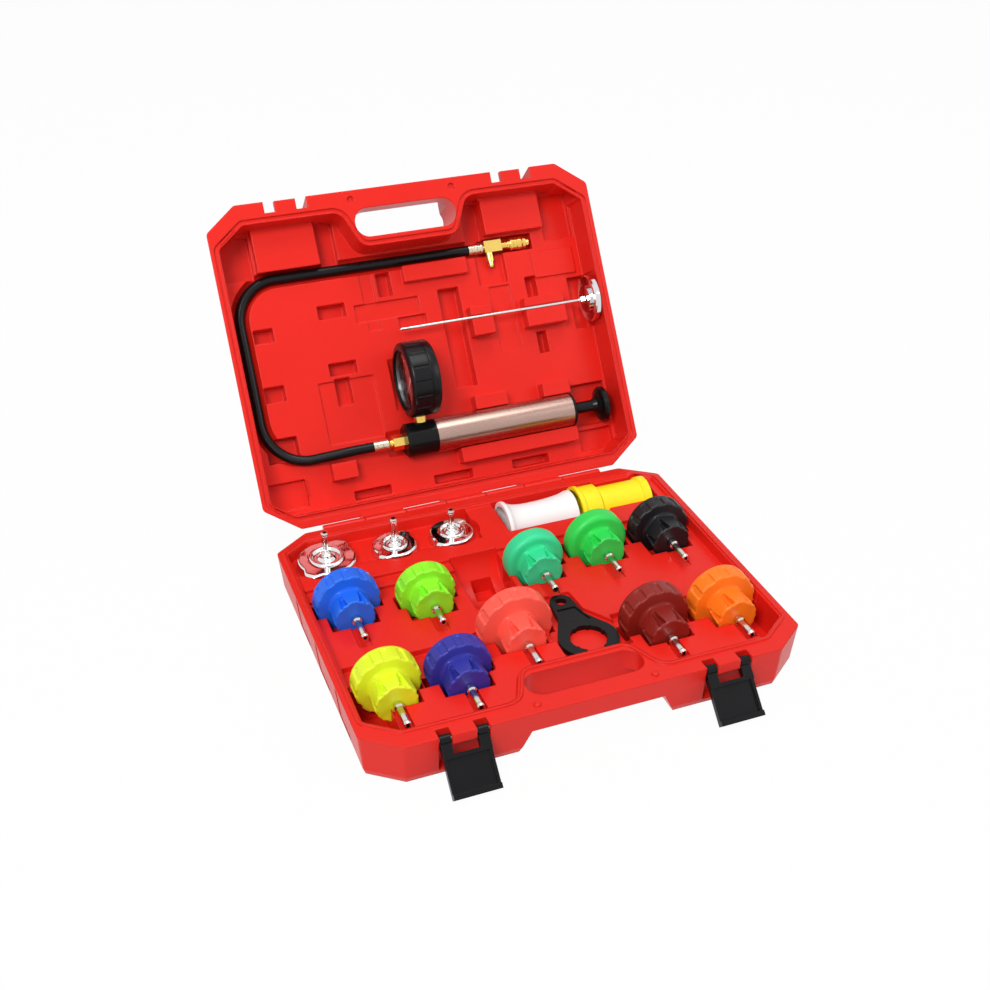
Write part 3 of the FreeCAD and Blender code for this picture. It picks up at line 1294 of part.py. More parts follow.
for name, x, front, ring_radius, ring_width, hub_length, nipple_length, flutes in ADAPTERS:
    save(make_adapter(x, front, ring_radius, ring_width, hub_length, flutes), name)
    start = Vec(x, front, BASE_DEPTH - ADAPTER_AXIS_DROP)
    save(nipple(start, ALONG_Y, nipple_length, NIPPLE_SEAT), name + "_nipple")


def make_white_neck():
    """The white neck adapter: a tube with a flared flange and a collar."""
    return turned([
        (0, 21.0), (0, NECK_FLANGE_RADIUS - 0.5), (1.0, NECK_FLANGE_RADIUS),
        (4.0, NECK_FLANGE_RADIUS - 0.5), (6.0, NECK_BODY_RADIUS + 0.8), (10.0, NECK_BODY_RADIUS),
        (62.0, NECK_BODY_RADIUS - 1.0), (66.0, NECK_BODY_RADIUS), (70.0, NECK_END_RADIUS),
        (74.0, NECK_END_RADIUS),
        (74.0, NECK_BORE_RADIUS), (12.0, NECK_BORE_RADIUS), (8.0, 18.5),
    ], neck_point(WHITE_NECK_START), ALONG_X)


def make_yellow_neck():
    """The yellow neck adapter: a wide collar, a tube and a flange."""
    end = YELLOW_NECK_LENGTH
    return turned([
        (0, 22.0), (0, NECK_FLANGE_RADIUS), (4.0, NECK_FLANGE_RADIUS), (6.0, 24.0), (22.0, 24.0),
        (25.0, 20.0), (end - 9.0, 20.0), (end - 7.0, YELLOW_NECK_END_RADIUS),
        (end, YELLOW_NECK_END_RADIUS), (end, NECK_BORE_RADIUS), (24.0, NECK_BORE_RADIUS), (20.0, 21.0),
    ], neck_point(YELLOW_NECK_START), ALONG_X)


def make_wrench():
    """The flat wrench: an open ring with small teeth, an arm and a hole to hang it by."""
    z = BASE_DEPTH - WRENCH_RECESS + NEST_GAP
    ring_centre = Vec(WRENCH_X, WRENCH_Y, z)
    end_centre = Vec(WRENCH_END_X, WRENCH_END_Y, z)
    thickness = WRENCH_THICKNESS
    arm = prism([
        Vec(WRENCH_X - 25.5, WRENCH_Y + 9, z), Vec(WRENCH_X + 25.5, WRENCH_Y + 9, z),
        Vec(WRENCH_END_X + 12.5, WRENCH_END_Y - 22, z), Vec(WRENCH_END_X + 10.4, WRENCH_END_Y, z),
        Vec(WRENCH_END_X - 10.4, WRENCH_END_Y, z), Vec(WRENCH_END_X - 12.5, WRENCH_END_Y - 22, z),
    ], Vec(0, 0, thickness))
    plate = rod(ring_centre, ALONG_Z, WRENCH_RADIUS, thickness)
    plate = plate.fuse([arm, rod(end_centre, ALONG_Z, WRENCH_END_RADIUS, thickness)])
    recess = prism([
        Vec(WRENCH_X - 13, WRENCH_Y + 24, z + thickness - 1.2),
        Vec(WRENCH_X + 13, WRENCH_Y + 24, z + thickness - 1.2),
        Vec(WRENCH_END_X + 8.5, WRENCH_END_Y - 10.5, z + thickness - 1.2),
        Vec(WRENCH_END_X - 8.5, WRENCH_END_Y - 10.5, z + thickness - 1.2),
    ], Vec(0, 0, 3))
    below = Vec(0, 0, 1)
    cuts = [
        rod(ring_centre - below, ALONG_Z, WRENCH_INNER_RADIUS, thickness + 2),
        rod(end_centre - below, ALONG_Z, 5.0, thickness + 2),
        recess,
        prism([Vec(WRENCH_X - 7, WRENCH_Y - 12, z - 1), Vec(WRENCH_X - 13, WRENCH_Y - 32, z - 1),
               Vec(WRENCH_X + 13, WRENCH_Y - 32, z - 1), Vec(WRENCH_X + 7, WRENCH_Y - 12, z - 1)],
              Vec(0, 0, thickness + 2)),
    ]
    wrench = plate.cut(cuts)
    teeth = []
    for turn in (20, 70, 110, 160, 215, 325):
        outward = Vec(math.cos(math.radians(turn)), math.sin(math.radians(turn)), 0)
        teeth.append(rod(ring_centre + outward * (WRENCH_INNER_RADIUS + 0.9), ALONG_Z, 1.9, thickness))
    return wrench.fuse(teeth).removeSplitter()


save(make_white_neck(), "white_neck_adapter")
save(make_yellow_neck(), "yellow_neck_adapter")
save(make_wrench(), "cap_wrench")
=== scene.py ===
import bpy
import bmesh
import math
from mathutils import Matrix, Vector


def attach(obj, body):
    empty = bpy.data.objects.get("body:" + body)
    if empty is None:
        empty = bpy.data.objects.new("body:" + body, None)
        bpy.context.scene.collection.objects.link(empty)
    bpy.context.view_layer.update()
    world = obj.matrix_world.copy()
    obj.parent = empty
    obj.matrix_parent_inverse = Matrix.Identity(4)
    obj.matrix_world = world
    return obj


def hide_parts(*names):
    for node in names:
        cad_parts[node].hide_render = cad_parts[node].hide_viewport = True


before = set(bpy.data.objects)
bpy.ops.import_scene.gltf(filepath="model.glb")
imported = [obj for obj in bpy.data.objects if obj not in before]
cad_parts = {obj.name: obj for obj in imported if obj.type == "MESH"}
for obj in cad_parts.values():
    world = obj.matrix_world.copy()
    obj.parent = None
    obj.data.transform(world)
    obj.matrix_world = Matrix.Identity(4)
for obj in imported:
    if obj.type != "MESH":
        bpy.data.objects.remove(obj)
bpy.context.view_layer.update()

# A large soft lamp hangs over the front left, a weaker one fills the right side,
# and a third lights the tray from above.
CAMERA_PLACE = (-0.3834, -0.9246, 0.7767)
CAMERA_YAW = math.radians(-20.84)
CAMERA_PITCH = math.radians(-32.31)
CAMERA_ROLL = math.radians(0.25)
CAMERA_LENS = 49.567
FLOOR_SIZE = 12.0
FLOOR_WHITE_SHARE = 0.97
SKY_STRENGTH = 0.22
WHITE = (1.0, 1.0, 1.0, 1.0)
LAMPS = (
    ("key_lamp", (-1.5, -1.6, 2.3), 1.1, 66.0),
    ("fill_lamp", (1.9, -1.2, 1.6), 1.2, 12.0),
    ("top_lamp", (0.2, 0.1, 2.6), 1.3, 24.0),
)
LAMP_TARGET = Vector((0.0, 0.05, 0.1))


class Amount:
    """A number or colour on its way through a material's nodes."""

    def __init__(self, finish, socket):
        self.finish = finish
        self.socket = socket

    def joined(self, operation, first, second):
        return self.finish.add("ShaderNodeMath", {"operation": operation}, {0: first, 1: second})

    def __add__(self, other):
        return self.joined("ADD", self, other)

    def __sub__(self, other):
        return self.joined("SUBTRACT", self, other)

    def __rsub__(self, other):
        return self.joined("SUBTRACT", other, self)

    def __mul__(self, other):
        return self.joined("MULTIPLY", self, other)

    def __gt__(self, other):
        return self.joined("GREATER_THAN", self, other)

    def __lt__(self, other):
        return self.joined("LESS_THAN", self, other)

    __radd__ = __add__
    __rmul__ = __mul__


class Finish:
    """A material that is put together from nodes; it can also fill another tree, such as a world's."""

    def __init__(self, name, tree=None):
        if tree is None:
            self.material = bpy.data.materials.new(name)
            self.material.use_nodes = True
            tree = self.material.node_tree
        self.tree = tree
        self.tree.nodes.clear()

    def add(self, kind, settings=None, sockets=None, output=0):
        node = self.tree.nodes.new(kind)
        for name, value in (settings or {}).items():
            if name == "stops":
                ramp = node.color_ramp
                while len(ramp.elements) < len(value):
                    ramp.elements.new(0.5)
                for element, (position, colour) in zip(ramp.elements, value):
                    element.position = position
                    element.color = colour
            else:
                setattr(node, name, value)
        for name, value in (sockets or {}).items():
            if isinstance(value, Amount):
                self.tree.links.new(value.socket, node.inputs[name])
            else:
                node.inputs[name].default_value = value
        return Amount(self, node.outputs[output])

    def surface(self, **sockets):
        words = {name.replace("_", " "): value for name, value in sockets.items()}
        shader = self.add("ShaderNodeBsdfPrincipled", sockets=words)
        self.add_output(shader)
        return self.material

    def add_output(self, shader, kind="ShaderNodeOutputMaterial"):
        output = self.tree.nodes.new(kind)
        self.tree.links.new(shader.socket, output.inputs["Surface"])

    def noise(self, scale, detail=2.0, stretch=(1.0, 1.0, 1.0)):
        place = self.add("ShaderNodeTexCoord", output="Object")
        place = self.add("ShaderNodeMapping", sockets={"Vector": place, "Scale": stretch})
        return self.add("ShaderNodeTexNoise", sockets={
            "Vector": place, "Scale": scale, "Detail": detail})

    def shade(self, share, dark, light):
        return self.add("ShaderNodeMix", {"data_type": "RGBA"}, {0: share, 6: dark, 7: light}, 2)


def seen_directly(finish):
    """1 for rays from the camera, off a mirror finish or through glass, else 0."""
    ray = finish.tree.nodes.new("ShaderNodeLightPath")
    total = Amount(finish, ray.outputs["Is Camera Ray"])
    total = total + Amount(finish, ray.outputs["Is Glossy Ray"])
    total = total + Amount(finish, ray.outputs["Is Transmission Ray"])
    return total > 0.5


floor_finish = Finish("white_floor")
floor_diffuse = floor_finish.add("ShaderNodeBsdfDiffuse", sockets={"Color": (0.8, 0.8, 0.8, 1.0)})
floor_white = floor_finish.add("ShaderNodeEmission", sockets={"Color": WHITE})
floor_share = seen_directly(floor_finish) * FLOOR_WHITE_SHARE
floor_finish.add_output(floor_finish.add(
    "ShaderNodeMixShader", sockets={0: floor_share, 1: floor_diffuse, 2: floor_white}))
floor_mesh = bpy.data.meshes.new("floor")
half = FLOOR_SIZE / 2
floor_mesh.from_pydata(
    [(-half, -half, 0.0), (half, -half, 0.0), (half, half, 0.0), (-half, half, 0.0)], [], [(0, 1, 2, 3)])
floor_mesh.materials.append(floor_finish.material)
floor = bpy.data.objects.new("floor", floor_mesh)
bpy.context.scene.collection.objects.link(floor)

world = bpy.data.worlds.new("studio")
bpy.context.scene.world = world
world.use_nodes = True
sky = Finish("studio_sky", world.node_tree)
soft_sky = sky.add("ShaderNodeBackground", sockets={"Color": WHITE, "Strength": SKY_STRENGTH})
white_sky = sky.add("ShaderNodeBackground", sockets={"Color": WHITE, "Strength": 1.0})
sky.add_output(sky.add("ShaderNodeMixShader", sockets={
    0: seen_directly(sky), 1: soft_sky, 2: white_sky}), "ShaderNodeOutputWorld")

for lamp_name, place, size, watts in LAMPS:
    light = bpy.data.lights.new(lamp_name, "AREA")
    light.shape = "SQUARE"
    light.size = size
    light.energy = watts
    lamp = bpy.data.objects.new(lamp_name, light)
    lamp.location = place
    lamp.rotation_euler = (LAMP_TARGET - lamp.location).to_track_quat("-Z", "Y").to_euler()
    bpy.context.scene.collection.objects.link(lamp)

turn = (Matrix.Rotation(CAMERA_YAW, 4, "Z") @ Matrix.Rotation(CAMERA_PITCH, 4, "X")
        @ Matrix.Rotation(CAMERA_ROLL, 4, "Y"))
camera = bpy.data.objects.new("camera", bpy.data.cameras.new("camera"))
camera.data.lens = CAMERA_LENS
camera.data.sensor_width = 36.0
camera.data.sensor_fit = "HORIZONTAL"
camera.matrix_world = (Matrix.Translation(CAMERA_PLACE) @ turn
                       @ Matrix.Rotation(math.radians(90), 4, "X"))
bpy.context.scene.collection.objects.link(camera)
bpy.context.scene.camera = camera
bpy.context.scene.view_settings.view_transform = "Standard"


def dress(material, *names):
    """Gives CAD nodes their finish."""
    for name in names:
        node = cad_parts[name]
        for holder in node.material_slots:
            holder.material = material


def moulded(name, colour, roughness=0.42, clouds=0.06, grain=0.00006, edge=0.0004, gloss=0.35):
    """Moulded plastic: faint cloudy colour, uneven gloss, fine grain and softened edges."""
    finish = Finish(name)
    rounded = finish.add("ShaderNodeBevel", {"samples": 6}, {"Radius": edge})
    cloud = finish.noise(22.0, 3.0)
    dark = tuple(part * (1 - clouds) for part in colour) + (1.0,)
    light = tuple(min(part * (1 + clouds), 1.0) for part in colour) + (1.0,)
    relief = finish.noise(1400.0, 2.0)
    bump = finish.add("ShaderNodeBump", sockets={
        "Strength": 0.35, "Distance": grain, "Height": relief, "Normal": rounded})
    return finish.surface(Base_Color=finish.shade(cloud, dark, light),
                          Roughness=cloud * 0.12 + (roughness - 0.06), Specular_IOR_Level=gloss,
                          Normal=bump)


def turned_metal(name, colour, roughness=0.18, streak=0.1, stretch=(1.0, 1.0, 1.0), clouds=0.12):
    """Turned or plated metal with fine machining streaks and slight tarnish."""
    finish = Finish(name)
    tarnish = finish.noise(60.0, 3.0)
    dark = tuple(part * (1 - clouds) for part in colour) + (1.0,)
    lines = finish.noise(900.0, 2.0, stretch)
    return finish.surface(Base_Color=finish.shade(tarnish, dark, colour + (1.0,)), Metallic=1.0,
                          Roughness=lines * streak + (roughness - streak / 2))


# ---- Case ----
# Blow moulded red polyethylene in two double-walled halves. The lid turns on a steel rod
# at the back, and the tray and the lid are shaped to hold each tool.
case_red = moulded("case_red", (0.74, 0.016, 0.009), 0.34, 0.04, 0.00008, 0.0018, 0.24)
dress(case_red, "case_base", "case_lid")
dress(turned_metal("pin_steel", (0.55, 0.55, 0.56), 0.3), "hinge_pin", "latch_pins")

# ---- Latches and wrench ----
# Moulded in black nylon with a semi gloss face.
latch_black = moulded("latch_black", (0.005, 0.005, 0.006), 0.24, 0.1, 0.00004, gloss=0.16)
dress(latch_black, "latch_left", "latch_right", "cap_wrench")

# ---- Hand pump ----
# A bronze anodised tube between black plastic ends, with a chromed rod and a black knob.
dress(turned_metal("barrel_bronze", (0.47, 0.31, 0.26), 0.26, 0.16, (0.05, 3.0, 3.0)), "pump_barrel")
pump_black = moulded("pump_black", (0.005, 0.005, 0.005), 0.24, 0.1, gloss=0.18)
dress(pump_black, "pump_head", "pump_end_cap", "pump_handle")
dress(turned_metal("rod_chrome", (0.8, 0.8, 0.8), 0.1), "pump_rod")
dress(moulded("piston_nylon", (0.6, 0.6, 0.58), 0.4), "pump_piston")
rubber = moulded("rubber", (0.005, 0.005, 0.006), 0.27, 0.15, 0.0001, gloss=0.2)
dress(rubber, "check_valve", "piston_seal", "hose")

# ---- Gauge ----
# A pressure gauge with a black dial in a rubber boot, on a brass stem.
brass = turned_metal("brass", (0.86, 0.6, 0.15), 0.2)
dress(brass, "gauge_stem", "hose_nut", "tee_body", "release_valve", "coupler_body", "coupler_sleeve")
dress(turned_metal("gauge_steel", (0.35, 0.35, 0.36), 0.3), "gauge_case")
dress(moulded("dial_black", (0.012, 0.012, 0.013), 0.5), "gauge_dial")
dress(moulded("needle_white", (0.85, 0.85, 0.85), 0.5), "gauge_needle")
lens_clear = Finish("lens_clear").surface(
    Base_Color=(0.95, 0.97, 0.97, 1.0), Roughness=0.02, Transmission_Weight=1.0, IOR=1.46)
dress(lens_clear, "gauge_lens", "thermometer_lens")
dress(turned_metal("ferrule_plated", (0.72, 0.64, 0.46), 0.25), "hose_ferrules")

# ---- Thermometer ----
thermo_steel = turned_metal("thermo_steel", (0.78, 0.78, 0.79), 0.12)
dress(thermo_steel, "thermometer_body")
dress(moulded("dial_white", (0.85, 0.85, 0.83), 0.5), "thermometer_dial")
dress(moulded("needle_dark", (0.03, 0.03, 0.03), 0.5), "thermometer_needle")

nickel = turned_metal("nickel", (0.72, 0.7, 0.66), 0.14)

# ---- Filler cap adapters ----
# Ten injection moulded caps, each for another make of filler neck: a wide fluted ring with
# a threaded inside, and in front a narrower grip with six scoops and a dished end.
# A plated hose nipple is clamped through the middle.
ADAPTER_AXIS_HEIGHT = 0.042
GRIP_FRONT_RADIUS = 0.0205
GRIP_BACK_RADIUS = 0.0185
ADAPTER_WALL = 0.003
NIPPLE_HOLE = 0.003
NIPPLE_SEAT = 0.008
INNER_FLOOR_RADIUS = 0.0135
DISH_DEPTH = 0.0008
THREAD_DEPTH = 0.0008
THREAD_PITCH = 0.0036
TURN_STEPS = 300
SCOOPS = 6
SCOOP_DEPTH = 0.0058
SCOOP_RIDGE = 0.0002
FACE_FLATNESS = 0.75
CROWN_DEPTH = 0.0005
WAVE_DEPTH = 0.0026
FLUTE_DEPTH = 0.0014
# name: middle's x, front's y, ring radius, ring width, grip length, flutes, turn, colour
ADAPTERS = {
    "blue": (-0.1575, 0.0145, 0.030, 0.017, 0.022, 12, 3, (0.012, 0.14, 0.78)),
    "lime": (-0.087, 0.005, 0.027, 0.016, 0.020, 12, 0, (0.28, 0.86, 0.025)),
    "mint": (0.024, 0.017, 0.0285, 0.016, 0.020, 0, 11, (0.035, 0.68, 0.3)),
    "green": (0.091, 0.024, 0.030, 0.016, 0.020, 0, 4, (0.03, 0.66, 0.09)),
    "black": (0.157, 0.020, 0.0295, 0.016, 0.024, 12, 51, (0.006, 0.006, 0.008)),
    "citron": (-0.1575, -0.1075, 0.029, 0.018, 0.024, 12, 8, (0.72, 0.86, 0.02)),
    "navy": (-0.0955, -0.1095, 0.0285, 0.017, 0.022, 12, 11, (0.028, 0.03, 0.3)),
    "coral": (-0.030, -0.0745, 0.034, 0.017, 0.024, 12, 6, (1.0, 0.11, 0.075)),
    "maroon": (0.0895, -0.110, 0.031, 0.018, 0.026, 12, 0, (0.23, 0.012, 0.007)),
    "orange": (0.1565, -0.1075, 0.0305, 0.018, 0.024, 12, 55, (1.0, 0.2, 0.01)),
}


def evenly(first, last, count):
    """count points from first to last, without the first."""
    return [tuple(a + (b - a) * (k + 1) / count for a, b in zip(first, last)) for k in range(count)]


def cap_profile(ring_radius, ring_width, grip_length, flutes):
    """The cap's section as (distance back, radius, scoop share, flute share)."""
    back = grip_length + ring_width
    rim = GRIP_FRONT_RADIUS - 0.0016
    section = []
    for k in range(12):
        radius = NIPPLE_HOLE + (rim - NIPPLE_HOLE) * k / 11
        share = max(0.0, (radius - 0.009) / (GRIP_FRONT_RADIUS - 0.009))
        section.append((DISH_DEPTH * (1 - (radius / rim) ** 2), radius, share, 0.0))
    section += [(0.0002, rim + 0.0007, 0.96, 0.0), (0.0007, rim + 0.00125, 1.0, 0.0),
                (0.0015, GRIP_FRONT_RADIUS, 1.0, 0.0)]
    section += evenly(section[-1], (grip_length - 0.0016, GRIP_BACK_RADIUS, 1.0, 0.0), 26)
    section += [(grip_length - 0.0008, GRIP_BACK_RADIUS + 0.0003, 0.3, 0.0),
                (grip_length - 0.0002, GRIP_BACK_RADIUS + 0.001, 0.0, 0.0),
                (grip_length, GRIP_BACK_RADIUS + 0.002, 0.0, 0.0)]
    shoulder = 0.0024 if flutes else 0.0052
    section.append((grip_length, ring_radius - shoulder, 0.0, 0.35))
    for degrees in (15, 30, 45, 60, 75, 90):
        turn = math.radians(degrees)
        section.append((grip_length + shoulder * (1 - math.cos(turn)),
                        ring_radius - shoulder * (1 - math.sin(turn)), 0.0, 0.35 + 0.65 * degrees / 90))
    section += evenly(section[-1], (back - 0.0014, ring_radius, 0.0, 1.0), 22)
    section += [(back - 0.0006, ring_radius - 0.0002, 0.0, 0.0),
                (back - 0.0001, ring_radius - 0.0007, 0.0, 0.0),
                (back, ring_radius - 0.0013, 0.0, 0.0),
                (back, ring_radius - ADAPTER_WALL + 0.0005, 0.0, 0.0)]
    floor_depth = grip_length + ADAPTER_WALL
    steps = 30
    for k in range(steps + 1):
        depth = back - 0.0005 - (back - 0.0007 - floor_depth) * k / steps
        crest = max(0.0, math.cos((back - depth) / THREAD_PITCH * 2 * math.pi)) ** 2
        inside = THREAD_DEPTH * crest if depth < back - 0.001 and depth > floor_depth + 0.002 else 0.0
        section.append((depth, ring_radius - ADAPTER_WALL - inside, 0.0, 0.0))
    section += [(floor_depth, ring_radius - ADAPTER_WALL - 0.001, 0.0, 0.0),
                (floor_depth, INNER_FLOOR_RADIUS + 0.0004, 0.0, 0.0),
                (floor_depth - 0.0004, INNER_FLOOR_RADIUS, 0.0, 0.0),
                (NIPPLE_SEAT + 0.0003, INNER_FLOOR_RADIUS, 0.0, 0.0),
                (NIPPLE_SEAT, INNER_FLOOR_RADIUS - 0.0004, 0.0, 0.0), (NIPPLE_SEAT, NIPPLE_HOLE, 0.0, 0.0)]
    return section


def revolved(name, section, steps):
    """A closed section turned about the Y axis, with its shares kept as attributes."""
    rows = len(section)
    points = []
    for k in range(steps):
        turn = 2 * math.pi * k / steps
        for along, radius, *_ in section:
            points.append((radius * math.cos(turn), along, radius * math.sin(turn)))
    faces = []
    for k in range(steps):
        for row in range(rows):
            here, there = k * rows, (k + 1) % steps * rows
            after = (row + 1) % rows
            if not section[row][1] and not section[after][1]:
                continue
            faces.append((here + row, here + after, there + after, there + row))
    mesh = bpy.data.meshes.new(name)
    mesh.from_pydata(points, [], faces)
    for place, word in enumerate(("scoop_share", "flute_share"), 2):
        layer = mesh.attributes.new(word, "FLOAT", "POINT")
        layer.data.foreach_set("value", [part[place] for part in section] * steps)
    return mesh


class Rule(Finish):
    """A geometry tree: the same way of adding nodes, with inputs for a piece's sizes."""

    def __init__(self, name, sizes):
        self.tree = bpy.data.node_groups.new(name, "GeometryNodeTree")
        face = self.tree.interface
        face.new_socket("Geometry", in_out="INPUT", socket_type="NodeSocketGeometry")
        for word in sizes:
            face.new_socket(word, in_out="INPUT", socket_type="NodeSocketFloat")
        face.new_socket("Geometry", in_out="OUTPUT", socket_type="NodeSocketGeometry")
        self.start = self.tree.nodes.new("NodeGroupInput")
        self.end = self.tree.nodes.new("NodeGroupOutput")

    def size(self, word):
        return Amount(self, self.start.outputs[word])

    def axes(self):
        """The point's x, y and z."""
        place = self.add("GeometryNodeInputPosition")
        parts = self.tree.nodes.new("ShaderNodeSeparateXYZ")
        self.tree.links.new(place.socket, parts.inputs[0])
        return [Amount(self, parts.outputs[k]) for k in range(3)]

    def end_with(self, geometry):
        realized = self.add("GeometryNodeRealizeInstances", sockets={0: geometry})
        self.tree.links.new(realized.socket, self.end.inputs[0])

    def end_moved(self, x, y, z):
        """Ends the tree with the points moved by these distances and smooth faces."""
        offset = self.add("ShaderNodeCombineXYZ", sockets={0: x, 1: y, 2: z})
        moved = self.add("GeometryNodeSetPosition", sockets={
            "Geometry": Amount(self, self.start.outputs["Geometry"]), "Offset": offset})
        self.end_with(self.add("GeometryNodeSetShadeSmooth", sockets={0: moved}))

    def apply(self, name, mesh, **sizes):
        """The tree's result on a mesh, as a plain mesh."""
        piece = bpy.data.objects.new(name, mesh)
        bpy.context.scene.collection.objects.link(piece)
        modifier = piece.modifiers.new(name, "NODES")
        modifier.node_group = self.tree
        for item in self.tree.interface.items_tree:
            if item.item_type == "SOCKET" and item.in_out == "INPUT" and item.name in sizes:
                modifier[item.identifier] = sizes[item.name]
        bpy.context.view_layer.update()
        shown = piece.evaluated_get(bpy.context.evaluated_depsgraph_get())
        made = bpy.data.meshes.new_from_object(shown)
        piece.modifiers.clear()
        piece.data = made
        return piece


def grip_rule():
    """The scoops of the grip and the flutes of the ring, cut by moving points toward the axis."""
    rule = Rule("grip_rule", ("Grip Length", "Ring Width", "Flutes", "Flute Depth", "Scoop Depth", "Turn"))
    x, y, z = rule.axes()
    angle = z.joined("ARCTAN2", z, x)
    radius = rule.add("ShaderNodeVectorMath", {"operation": "LENGTH"}, {
        0: rule.add("ShaderNodeCombineXYZ", sockets={0: x, 2: z})}, 1)
    shares = [rule.add("GeometryNodeInputNamedAttribute", {"data_type": "FLOAT"}, {"Name": word})
              for word in ("scoop_share", "flute_share")]
    from_front = y.joined("DIVIDE", y, rule.size("Grip Length"))
    to_front = (1 - from_front).joined("MAXIMUM", 1 - from_front, 0.0)
    to_scoop = angle.joined("PINGPONG", angle - rule.size("Turn") + 4 * math.pi, math.pi / SCOOPS)
    half_width = to_front * to_front * 0.17 + 0.1
    across = to_scoop.joined("DIVIDE", to_scoop, half_width)
    bowl = rule.add("ShaderNodeClamp", sockets={0: (1 - across * across) * 1.5})
    bowl = bowl * bowl * (3.0 - bowl * 2.0)
    end = rule.add("ShaderNodeClamp", sockets={0: (0.8 - from_front) * 12.0})
    lip = rule.add("ShaderNodeClamp", sockets={0: (from_front - 0.06) * 9.0})
    ridge = (across - 1.0).joined("ABSOLUTE", across - 1.0, 0.0)
    ridge = rule.add("ShaderNodeClamp", sockets={0: 1 - ridge * 7.0})
    hollow = bowl * lip * (to_front * 0.25 + 0.75) * rule.size("Scoop Depth") - ridge * SCOOP_RIDGE
    off_face = math.pi / SCOOPS - to_scoop
    facet = off_face.joined("COSINE", off_face, 0.0)
    facet = 1 - facet.joined("DIVIDE", math.cos(math.pi / SCOOPS), facet)
    near_front = rule.add("ShaderNodeClamp", sockets={0: 1 - from_front * 5.0}) * shares[0]
    wave = rule.add("ShaderNodeClamp", sockets={0: 1 - to_scoop * to_scoop * 8.0})
    scoop = (hollow * end + facet * FACE_FLATNESS * radius) * shares[0]
    scoop = scoop + wave * near_front * WAVE_DEPTH
    pitch = rule.size("Flutes").joined("DIVIDE", math.pi, rule.size("Flutes"))
    to_flute = angle.joined("PINGPONG", angle + 4 * math.pi, pitch)
    edge = rule.add("ShaderNodeClamp", sockets={0: (pitch * 0.47 - to_flute) * 32.0})
    along = (y - rule.size("Grip Length")).joined(
        "DIVIDE", y - rule.size("Grip Length"), rule.size("Ring Width"))
    rounding = to_flute.joined("DIVIDE", to_flute, pitch * 0.47)
    stop = rule.add("ShaderNodeClamp", sockets={0: (0.84 - along - rounding * rounding * 0.12) * 22.0})
    flute = edge * stop * shares[1] * rule.size("Flute Depth")
    inward = (scoop + flute) * -1.0
    share = inward.joined("DIVIDE", inward, radius)
    crown = to_scoop.joined("POWER", to_scoop * (SCOOPS / math.pi), 1.6) * near_front
    rule.end_moved(x * share, crown * CROWN_DEPTH, z * share)
    return rule


def settled(piece, place, material, crisp=32):
    """Moves a turned piece's mesh to its place and gives it outward faces and its finish."""
    work = bmesh.new()
    work.from_mesh(piece.data)
    bmesh.ops.remove_doubles(work, verts=work.verts, dist=1e-6)
    bmesh.ops.recalc_face_normals(work, faces=work.faces)
    work.to_mesh(piece.data)
    work.free()
    piece.data.transform(place)
    piece.data.set_sharp_from_angle(angle=math.radians(crisp))
    piece.data.materials.clear()
    piece.data.materials.append(material)


grips = grip_rule()
for word, (x, front, ring, width, grip, flutes, scoop_turn, colour) in ADAPTERS.items():
    cap = grips.apply(
        word + "_cap_body", revolved(word + "_cap", cap_profile(ring, width, grip, flutes), TURN_STEPS),
        **{"Grip Length": grip, "Ring Width": width, "Flutes": max(flutes, 1),
           "Flute Depth": FLUTE_DEPTH if flutes else 0.0, "Scoop Depth": SCOOP_DEPTH,
           "Turn": math.radians(scoop_turn)})
    settled(cap, Matrix.Translation((x, front, ADAPTER_AXIS_HEIGHT)), moulded(word + "_plastic", colour))
    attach(cap, word + "_adapter_set")
    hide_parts(word + "_adapter")
    dress(nickel, word + "_adapter_nipple")

# ---- Radiator caps ----
# Stamped from sheet steel and chromed: a turned-down skirt, two ears to turn it by, a raised
# ring and a boss, with a nickel plated nipple through the middle. They lie in the back row.
CAP_SHEET = 0.0012
CAP_FOOT = 0.0330
CAP_BOSS = 0.0014
CAP_RING_HEIGHT = 0.0016
EAR_TURN = math.radians(313)
# name: x, y, radius, skirt height
RADIATOR_CAPS = {
    "large_cap": (-0.157, 0.117, 0.028, 0.009),
    "medium_cap": (-0.090, 0.1175, 0.0215, 0.008),
    "small_cap": (-0.032, 0.118, 0.022, 0.008),
}


